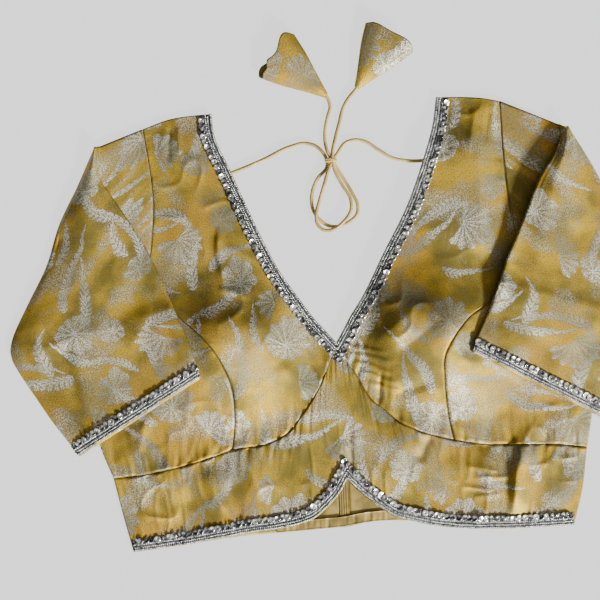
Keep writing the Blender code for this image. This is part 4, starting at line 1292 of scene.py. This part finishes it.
TOP_START = PLEAT_POINTS + TURN_POINTS
TOP_MIDDLE = TOP_START + TOP_POINTS // 2
TOP_BLOCK = slice(TOP_START, TOP_START + TOP_POINTS)


def blur_rows(values, reach):
    """Weighted mean of neighbouring rows, with bell weights and the end rows repeated."""
    weight = np.exp(-((np.arange(-reach, reach + 1) / (0.5 * reach)) ** 2))
    weight /= weight.sum()
    first, last = (np.repeat(end, reach, axis=0) for end in (values[:1], values[-1:]))
    padded = np.concatenate([first, values, last])
    return sum(w * padded[k:k + len(values)] for k, w in enumerate(weight))


def sleeve_surface(side):
    """Middle of the sleeve's cloth: the sections of the table, with rows between them on smooth curves."""
    armhole = join(smooth(ARMHOLE_UPPER[side], 120), smooth(ARMHOLE_LOWER[side], 120))
    seam_line = smooth(UNDERARM_SEAM[side], 120)
    rows = smooth(SLEEVE_ROWS[side], SLEEVE_LENGTH_ROWS)
    middle = np.array([sleeve_section(armhole, seam_line, row, FOLD_RISE[side]) for row in rows])
    top = middle[:, TOP_BLOCK]
    raised = blur_rows(top[..., 2], 7)
    x, y = top[..., 0], top[..., 1]
    down = np.linspace(0, 1, TOP_POINTS)
    fade = ease(down / 0.06) * ease((1 - down) / 0.06)
    detail = creases(SLEEVE_CREASES, x, y) + 0.9 * lattice_noise(x, y, 38, 61)
    detail = detail + 0.3 * lattice_noise(x, y, 14, 62) + wrinkles(x, y, 0.6, 30, 101)
    hem = length_along(middle[::-1, TOP_MIDDLE, :2])[::-1][:, None]
    hem_ripple = 0.35 * lattice_noise(x + y * 0.3, hem * 0.1, 9, 63) * np.exp(-hem / 30)
    arch = np.sqrt(np.clip(np.sin(math.pi * down ** CROWN_SKEW[side]), 0, 1))
    raised = raised + SLEEVE_CROWN * arch * ease(down / 0.2)
    top[..., 2] = np.maximum(raised + fade * (detail + hem_ripple), top[..., 2] - 0.9)
    return middle


def sleeve_layers(side):
    """Middle of the sleeve's cloth, and its normals turned outward."""
    middle = sleeve_surface(side)
    normal = surface_normals(middle)
    if normal[-3, TOP_MIDDLE, 2] < 0:
        normal = -normal
    return middle, normal


class CHOLI_OT_sleeves(bpy.types.Operator):
    """Sleeves, folded down over the front"""

    bl_idname = "choli.sleeves"
    bl_label = "Sleeves"

    def execute(self, context):
        outside, inside = cloth_pair()
        for side in ("left", "right"):
            middle, normal = sleeve_layers(side)
            steps = np.linalg.norm(np.diff(middle, axis=1), axis=2)
            around = np.concatenate([np.zeros((len(middle), 1)), np.cumsum(steps, axis=1)], axis=1)
            around = around - around[:, TOP_MIDDLE][:, None]
            lengthwise = length_along(middle[:, TOP_MIDDLE])
            uv = np.stack([around + (30 if side == "left" else 120),
                           np.broadcast_to(-lengthwise[:, None], around.shape)], axis=-1)
            half = CLOTH / 2
            obj = wall(f"sleeve_{side}_cloth", middle - half * normal, middle + half * normal, uv,
                       outside, inside)
            put_in_place(obj, "brocade", f"sleeve_{side}")
        return {"FINISHED"}


# ---------------------------------------------------------------- sequin lace

def sampled(carpet, along, across):
    """Points of a grid at fractional rows and columns, by blending the four around each."""
    i = np.clip(np.floor(along).astype(int), 0, carpet.shape[0] - 2)
    j = np.clip(np.floor(across).astype(int), 0, carpet.shape[1] - 2)
    a, b = (along - i)[..., None], (across - j)[..., None]
    return ((1 - a) * (1 - b) * carpet[i, j] + a * (1 - b) * carpet[i + 1, j]
            + (1 - a) * b * carpet[i, j + 1] + a * b * carpet[i + 1, j + 1])


def strip_on_front(edge, inward_of, width, mitre_rows):
    """A band of the front's face beside an edge: rows along the edge, columns across the band.

    Its first end runs on to the line straight up from its corner, where the other side's band meets it.
    """
    step = unit_rows(np.gradient(edge, axis=0))
    inward = np.column_stack([-step[:, 1], step[:, 0]])
    if ((inward_of - edge) * inward).sum() < 0:
        inward = -inward
    across = np.linspace(0, width, TRIM_COLUMNS)
    flat = edge[:, None] + across[None, :, None] * inward[:, None]
    ahead = unit(edge[0] - edge[6])
    reach = np.maximum(-across * inward[0, 0] / ahead[0] - MITRE_GAP, 0)
    fan = np.linspace(1, 0, mitre_rows, endpoint=False)[:, None] * reach
    flat = np.concatenate([flat[0] + fan[..., None] * ahead, flat])
    return lifted(flat, front_top(flat[..., 0], flat[..., 1]))


def copies(shape, faces, origins, frames):
    """One mesh of many copies: each point is origin + frame . point, for all origins at once."""
    points = origins[:, None] + np.einsum("nij,pj->npi", frames, shape)
    count = len(shape)
    offsets = (np.arange(len(origins)) * count)[:, None, None]
    return points.reshape(-1, 3), (faces[None] + offsets).reshape(-1, faces.shape[1])


def bead(length, width, height):
    """A low bead: five rings of six points, with the narrow end rings closed."""
    turn = np.linspace(0, 2 * math.pi, 6, endpoint=False)
    rings = []
    for s, r in ((-0.5, 0.12), (-0.3, 0.8), (0.0, 1.0), (0.3, 0.8), (0.5, 0.12)):
        rings.append(np.column_stack([np.full(6, s * length), r * width / 2 * np.cos(turn),
                                      r * height / 2 * (np.sin(turn) + 1)]))
    number, _, quads = ring_quads(len(rings), 6)
    first, last = number[0], number[-1]
    caps = [first[[0, 5, 4, 3]], first[[0, 3, 2, 1]], last[[0, 1, 2, 3]], last[[0, 3, 4, 5]]]
    return np.concatenate(rings), np.concatenate([quads, caps])


def disc(diameter):
    """A cupped sequin: rings of twelve points over and under, round a dimple in the middle."""
    turn = np.linspace(0, 2 * math.pi, 12, endpoint=False)
    rings = []
    for r, z in ((0.10, 0.02), (0.30, 0.10), (0.80, 0.34), (1.0, 0.42), (1.0, 0.30), (0.30, -0.02),
                 (0.10, -0.10)):
        rings.append(np.column_stack([r * diameter / 2 * np.cos(turn), r * diameter / 2 * np.sin(turn),
                                      np.full(12, z)]))
    return np.concatenate(rings), ring_quads(len(rings), 12, closed=True)[2]


def frames_on(carpet, along, across, turn, tilt):
    """Origins and axes on a grid: the first axis lies along it and the third is its normal.

    They are turned round the normal, and then the third is tilted towards the first.
    """
    origin = sampled(carpet, along, across)
    ahead = sampled(carpet, np.minimum(along + 0.6, carpet.shape[0] - 1), across) - sampled(
        carpet, np.maximum(along - 0.6, 0), across)
    aside = sampled(carpet, along, np.minimum(across + 0.6, carpet.shape[1] - 1)) - sampled(
        carpet, along, np.maximum(across - 0.6, 0))
    ahead = unit_rows(ahead)
    up = np.cross(ahead, aside)
    up = unit_rows(up * np.sign(up[:, 2:]))
    aside = np.cross(up, ahead)
    first = ahead * np.cos(turn)[:, None] + aside * np.sin(turn)[:, None]
    second = np.cross(up, first)
    leaned = up * np.cos(tilt)[:, None] + first * np.sin(tilt)[:, None]
    first = np.cross(second, leaned)
    return origin, np.stack([first, second, leaned], axis=-1)


def sequin_lace(name, carpet, sizes, seed, lean=0.16):
    """A tape with three rows of slanted braid and a row of overlapping sequins on its inner edge."""
    finish = materials()
    random = np.random.default_rng(seed)
    gone = length_along(carpet[:, carpet.shape[1] // 2])
    columns_per_mm = (carpet.shape[1] - 1) / sizes.trim_width
    normal = upward(surface_normals(carpet))
    thick = carpet + 0.45 * normal

    def spaced(offset, first, last, step, jitter):
        """Fractional rows of points this far apart along one column, and that column."""
        column = offset * columns_per_mm
        reached = length_along(carpet[:, round(column)])
        at = np.arange(first, reached[-1] - last, step)
        at = at + random.uniform(-jitter, jitter, len(at))
        return np.interp(at, reached, np.arange(len(reached))), np.full(len(at), column)

    inner = slice(TAPE_OUTER, carpet.shape[1] - TAPE_INNER)
    ground = thick[:, inner]
    uv = np.stack([np.broadcast_to(gone[:, None], ground.shape[:2]),
                   np.broadcast_to(np.arange(ground.shape[1]) / columns_per_mm, ground.shape[:2])], axis=-1)
    tape = wall(f"{name}_tape", ground - 0.1 * normal[:, inner], ground + 0.25 * normal[:, inner], uv,
                finish["Grey lace tape"], finish["Grey lace tape"])
    put_in_place(tape, "sequin_trim", name)

    shape, quads = bead(*BEAD)
    origins, frames = [], []
    for offset, slant in BRAID_ROWS:
        at, column = spaced(offset, 0.9, 0.6, sizes.stitch_step, 0.12)
        where, axes = frames_on(thick + 0.2 * normal, at, column + random.uniform(-0.2, 0.2, len(at)),
                                slant + random.uniform(-0.18, 0.18, len(at)),
                                random.uniform(-0.12, 0.12, len(at)))
        origins.append(where)
        frames.append(axes)
    points, faces = copies(shape, quads, np.concatenate(origins), np.concatenate(frames))
    braid = new_mesh(f"{name}_braid", points, faces, [finish["Silver braid"]])

    shape, quads = disc(sizes.sequin)
    at, column = spaced(sizes.trim_width - sizes.sequin / 2 - 0.6, sizes.sequin / 3, sizes.sequin / 3,
                        sizes.sequin_step, 0.35)
    column = column + random.uniform(-0.5, 0.5, len(at))
    where, axes = frames_on(thick + 0.75 * normal, at, column, random.uniform(-0.9, 0.9, len(at)),
                            lean + random.normal(0, 0.26, len(at)).clip(-0.5, 0.5))
    points, faces = copies(shape, quads, where, axes)
    sequins = new_mesh(f"{name}_sequins", points, faces, [finish["Silver sequins"]])
    pieces = [braid, sequins]
    for piece in pieces:
        put_in_place(piece, "sequin_trim")


def strip_on_sleeve(side, width):
    """A band of the sleeve's top face beside its hem: rows along the hem, columns across the band."""
    middle, normal = sleeve_layers(side)
    face = middle + CLOTH / 2 * normal
    block = face[:, TOP_START - 3:TOP_START + TOP_POINTS + 3]
    away = length_along(block[::-1, block.shape[1] // 2])[::-1]
    number = np.arange(len(block))
    rows = np.interp(np.linspace(SLEEVE_MARGIN, width + SLEEVE_MARGIN, TRIM_COLUMNS), away[::-1],
                     number[::-1])
    return np.stack([np.stack([np.interp(rows, number, column[:, axis]) for axis in range(3)], axis=-1)
                     for column in block.transpose(1, 0, 2)])


class CHOLI_OT_trims(bpy.types.Operator):
    """Sequin lace on the neckline, the hem and the sleeves"""

    bl_idname = "choli.trims"
    bl_label = "Sequin lace"

    def execute(self, context):
        sizes = context.scene.choli_sizes
        for number, side in enumerate(("left", "right")):
            centre = np.array([-130.0 if side == "left" else 130.0, 190.0])
            carpet = strip_on_front(smooth(NECK[side], 260)[::-1], centre, sizes.trim_width, 16)
            sequin_lace(f"neck_trim_{side}", carpet, sizes, 3 + number, -0.2)
            carpet = strip_on_front(smooth(HEM[side], 220), np.array([0.0, 400.0]), sizes.trim_width, 20)
            sequin_lace(f"hem_trim_{side}", carpet, sizes, 13 + number)
            carpet = strip_on_sleeve(side, sizes.trim_width)
            sequin_lace(f"sleeve_trim_{side}", carpet, sizes, 23 + number)
        return {"FINISHED"}


# ---------------------------------------------------------------- ties

class CHOLI_OT_ties(bpy.types.Operator):
    """Tie cords with their knot and tassels"""

    bl_idname = "choli.ties"
    bl_label = "Ties"

    def execute(self, context):
        knot = self.knot()
        for side in ("left", "right"):
            tassel = self.tassel(side, context.scene.choli_sizes.tassel_pleats)
            route = smooth(ROUTES[side], 240) + (0, 0, CORD / 2 - ROUTE_RADIUS)
            curve = bpy.data.curves.new(f"dori_{side}", "CURVE")
            curve.dimensions = "3D"
            curve.bevel_depth = CORD / 2 * MM
            curve.bevel_resolution = 4
            curve.use_fill_caps = True
            spline = curve.splines.new("POLY")
            spline.points.add(len(route) - 1)
            points = (route - (*CENTRE, 0)) * MM
            spline.points.foreach_set("co", np.column_stack([points, np.ones(len(points))]).ravel())
            curve.materials.append(materials()["Satin cord"])
            obj = bpy.data.objects.new(f"dori_{side}", curve)
            bpy.context.scene.collection.objects.link(obj)
            put_in_place(obj, "cord", f"dori_lead_{side}", f"dori_loop_{side}", f"dori_tail_{side}")
        return {"FINISHED"}

    def knot(self):
        """Two wraps of cord round the knot: a tube along a flattened spiral."""
        turn = np.linspace(0, 4 * math.pi, 90)
        x, y, z = KNOT
        sway = y + 1.9 * np.sin(turn * 0.5 + 0.4) + (turn / (4 * math.pi) - 0.5) * 4.2
        path = np.column_stack([x + 4.3 * np.cos(turn), sway, z + 2.2 * np.sin(turn)])
        around = np.linspace(0, 2 * math.pi, 10, endpoint=False)
        ahead = unit_rows(np.gradient(path, axis=0))
        aside = unit_rows(np.cross(ahead, (0.0, 1.0, 0.0)))
        up = np.cross(aside, ahead)
        tube = path[:, None] + WRAP_RADIUS * (np.cos(around)[None, :, None] * aside[:, None]
                                              + np.sin(around)[None, :, None] * up[:, None])
        tube[..., 2] = np.maximum(tube[..., 2], 0.05)
        number, _, faces = ring_quads(*tube.shape[:2])
        caps = []
        for ring in (number[0][::-1], number[-1]):
            caps += [[ring[0], ring[k], ring[k + 1], ring[k + 2]] for k in (1, 3, 5)]
            caps += [[ring[0], ring[7], ring[8], ring[9]]]
        obj = new_mesh("dori_knot_wraps", tube.reshape(-1, 3), np.concatenate([faces, caps]),
                       [materials()["Satin cord"]])
        put_in_place(obj, "cord", "dori_knot")
        return obj

    def tassel(self, side, pleats):
        """A flattened open cone: rings through the table's sections, rippled into pleats at the mouth."""
        finish = materials()
        shape = TASSELS[side]
        tip, mouth = (np.array(shape[end]) for end in ("tip", "mouth"))
        axis = unit(mouth - tip)
        across = np.array([-axis[1], axis[0]])
        sections = smooth(TASSEL_SECTIONS, 56)
        turn = np.linspace(0, 2 * math.pi, 120, endpoint=False)
        reach = np.linalg.norm(mouth - tip)

        def shell(inset):
            along, half_width, half_height = (sections[:, k][:, None] for k in range(3))
            ripple = 0.45 * np.sin(pleats * turn + 2.5 * along) + 0.12 * np.sin((2 * pleats + 3) * turn)
            ripple = ripple * np.clip(along, 0, 1) ** 0.8 * 0.8
            wide = half_width - inset + ripple
            tall = half_height - inset + 0.45 * ripple
            upper = np.clip(np.sin(turn), 0, 1)
            wave = along ** 3 * (shape["dip"] * upper ** 3 + shape["slant"] * np.cos(turn)
                                 - shape["open"] * upper ** 0.5 * ease((np.cos(turn) - 0.3) / 0.4)
                                 + shape["lobes"] * np.sin(2 * turn) ** 2
                                 + MOUTH_WAVE * np.sin(3 * turn + 0.6))
            run = reach * np.maximum(along, 0.03 if inset else 0.0) + wave
            flat = tip + axis * run[..., None] + across * (wide * np.cos(turn))[..., None]
            z = np.maximum(half_height + tall * np.sin(turn), 0.08 + inset)
            return np.concatenate([flat, z[..., None]], axis=-1)

        outer, inner = shell(0.0), shell(0.8)
        rows, columns = outer.shape[:2]
        number, beside, skin = ring_quads(rows, columns)
        total = rows * columns
        rim = np.stack([number[-1], beside[-1], beside[-1] + total, number[-1] + total], axis=-1)
        collar = np.stack([beside[0], number[0], number[0] + total, beside[0] + total], axis=-1)
        faces = np.concatenate([skin, skin[:, ::-1] + total, rim, collar])
        kind = np.concatenate([np.zeros(len(skin)), np.ones(len(skin)), np.zeros(len(rim) + len(collar))])
        girth = np.broadcast_to(turn / (2 * math.pi) * 110, (rows, columns))
        down = np.broadcast_to(sections[:, :1] * reach, (rows, columns))
        uv = (np.stack([girth, down], axis=-1) + shape["cloth"]).reshape(-1, 2)
        points = np.concatenate([outer.reshape(-1, 3), inner.reshape(-1, 3)])
        obj = new_mesh(f"tassel_{side}_cone", points, faces,
                       [finish["Gold brocade"], finish["Olive gold lining"]], kind, np.concatenate([uv, uv]))
        put_in_place(obj, "brocade", f"tassel_{side}")
        return obj


# ---------------------------------------------------------------- stage

VIEW_CENTRE = (-31.8, 143.5)  # what the camera looks at, in the garment's frame
VIEW_WIDTH = 522.0
VIEW_ROLL = math.radians(4.0)
LENS = 85.0
FLOOR_MATT = 0.12
FLOOR_GLOW = 1.96
FLOOR_REACH = 40000
FLOOR_HEIGHT = -0.6
TOWARDS_KEY = (0.52, -0.80, 0.47)
KEY_ENERGY = 10.4
KEY_SPREAD = math.radians(9)
ROOM_DIM = (0.12, 0.14, 0.17)
ROOM_BRIGHT = (2.3, 2.05, 1.75)
ROOM_STRENGTH = 0.34
SENSOR = 36.0


class CHOLI_OT_stage(bpy.types.Operator):
    """Floor, lights and a camera straight above"""

    bl_idname = "choli.stage"
    bl_label = "Stage"

    def execute(self, context):
        scene = context.scene
        camera = bpy.data.objects.new("Camera", bpy.data.cameras.new("Camera"))
        camera.data.lens = LENS
        camera.data.sensor_width = SENSOR
        camera.data.clip_start = 0.05
        height = VIEW_WIDTH * MM * LENS / SENSOR
        x, y = (np.array(VIEW_CENTRE) - CENTRE) * MM
        camera.matrix_world = Matrix.Translation((x, y, height)) @ Matrix.Rotation(-VIEW_ROLL, 4, "Z")
        scene.collection.objects.link(camera)
        scene.camera = camera

        corners = [(FLOOR_REACH * x, FLOOR_REACH * y, FLOOR_HEIGHT)
                   for x, y in ((-1, -1), (1, -1), (1, 1), (-1, 1))]
        floor = new_mesh("floor", corners, [[0, 1, 2, 3]], [bpy.data.materials["Pale floor"]])
        sun = bpy.data.objects.new("Key", bpy.data.lights.new("Key", "SUN"))
        sun.data.energy = KEY_ENERGY
        sun.data.angle = KEY_SPREAD
        sun.matrix_world = Vector(TOWARDS_KEY).to_track_quat("Z", "Y").to_matrix().to_4x4()
        scene.collection.objects.link(sun)
        scene.world = self.studio()
        return {"FINISHED"}

    def studio(self):
        """A room that is bright on the key's side and dim on the other, for the metal threads to reflect."""
        world = bpy.data.worlds.new("Studio")
        world.use_nodes = True
        w = Wiring(world.node_tree)
        towards = w.add("ShaderNodeTexCoord").outputs["Generated"]
        facing = w.vector("DOT_PRODUCT", towards, tuple(Vector(TOWARDS_KEY).normalized()))
        shade = w.mix(w.soft_step(facing, 0.0, 0.85), ROOM_DIM, ROOM_BRIGHT)
        background = world.node_tree.nodes["Background"]
        w.put(background.inputs["Color"], shade)
        background.inputs["Strength"].default_value = ROOM_STRENGTH
        return world


class CHOLI_PT_panel(bpy.types.Panel):
    bl_label = "Choli blouse"
    bl_idname = "CHOLI_PT_panel"
    bl_space_type = "VIEW_3D"
    bl_region_type = "UI"
    bl_category = "Choli"

    def draw(self, context):
        for operator in OPERATORS:
            self.layout.operator(operator.bl_idname)
        for group in (context.scene.choli_colours, context.scene.choli_sizes):
            for key in group.__annotations__:
                self.layout.prop(group, key)


OPERATORS = (CHOLI_OT_finishes, CHOLI_OT_stage, CHOLI_OT_backs, CHOLI_OT_fronts, CHOLI_OT_sleeves,
             CHOLI_OT_trims, CHOLI_OT_ties)
CLASSES = (CholiColours, CholiSizes) + OPERATORS + (CHOLI_PT_panel,)


def register():
    for cls in CLASSES:
        bpy.utils.register_class(cls)
    bpy.types.Scene.choli_colours = PointerProperty(type=CholiColours)
    bpy.types.Scene.choli_sizes = PointerProperty(type=CholiSizes)


def unregister():
    del bpy.types.Scene.choli_sizes
    del bpy.types.Scene.choli_colours
    for cls in reversed(CLASSES):
        bpy.utils.unregister_class(cls)


def main():
    register()
    for obj in list(bpy.context.scene.objects):
        if obj.name in ("Cube", "Light", "Camera"):
            bpy.data.objects.remove(obj, do_unlink=True)
    for step in ("finishes", "stage", "backs", "fronts", "sleeves", "trims", "ties"):
        getattr(bpy.ops.choli, step)()


if __name__ == "__main__":
    main()
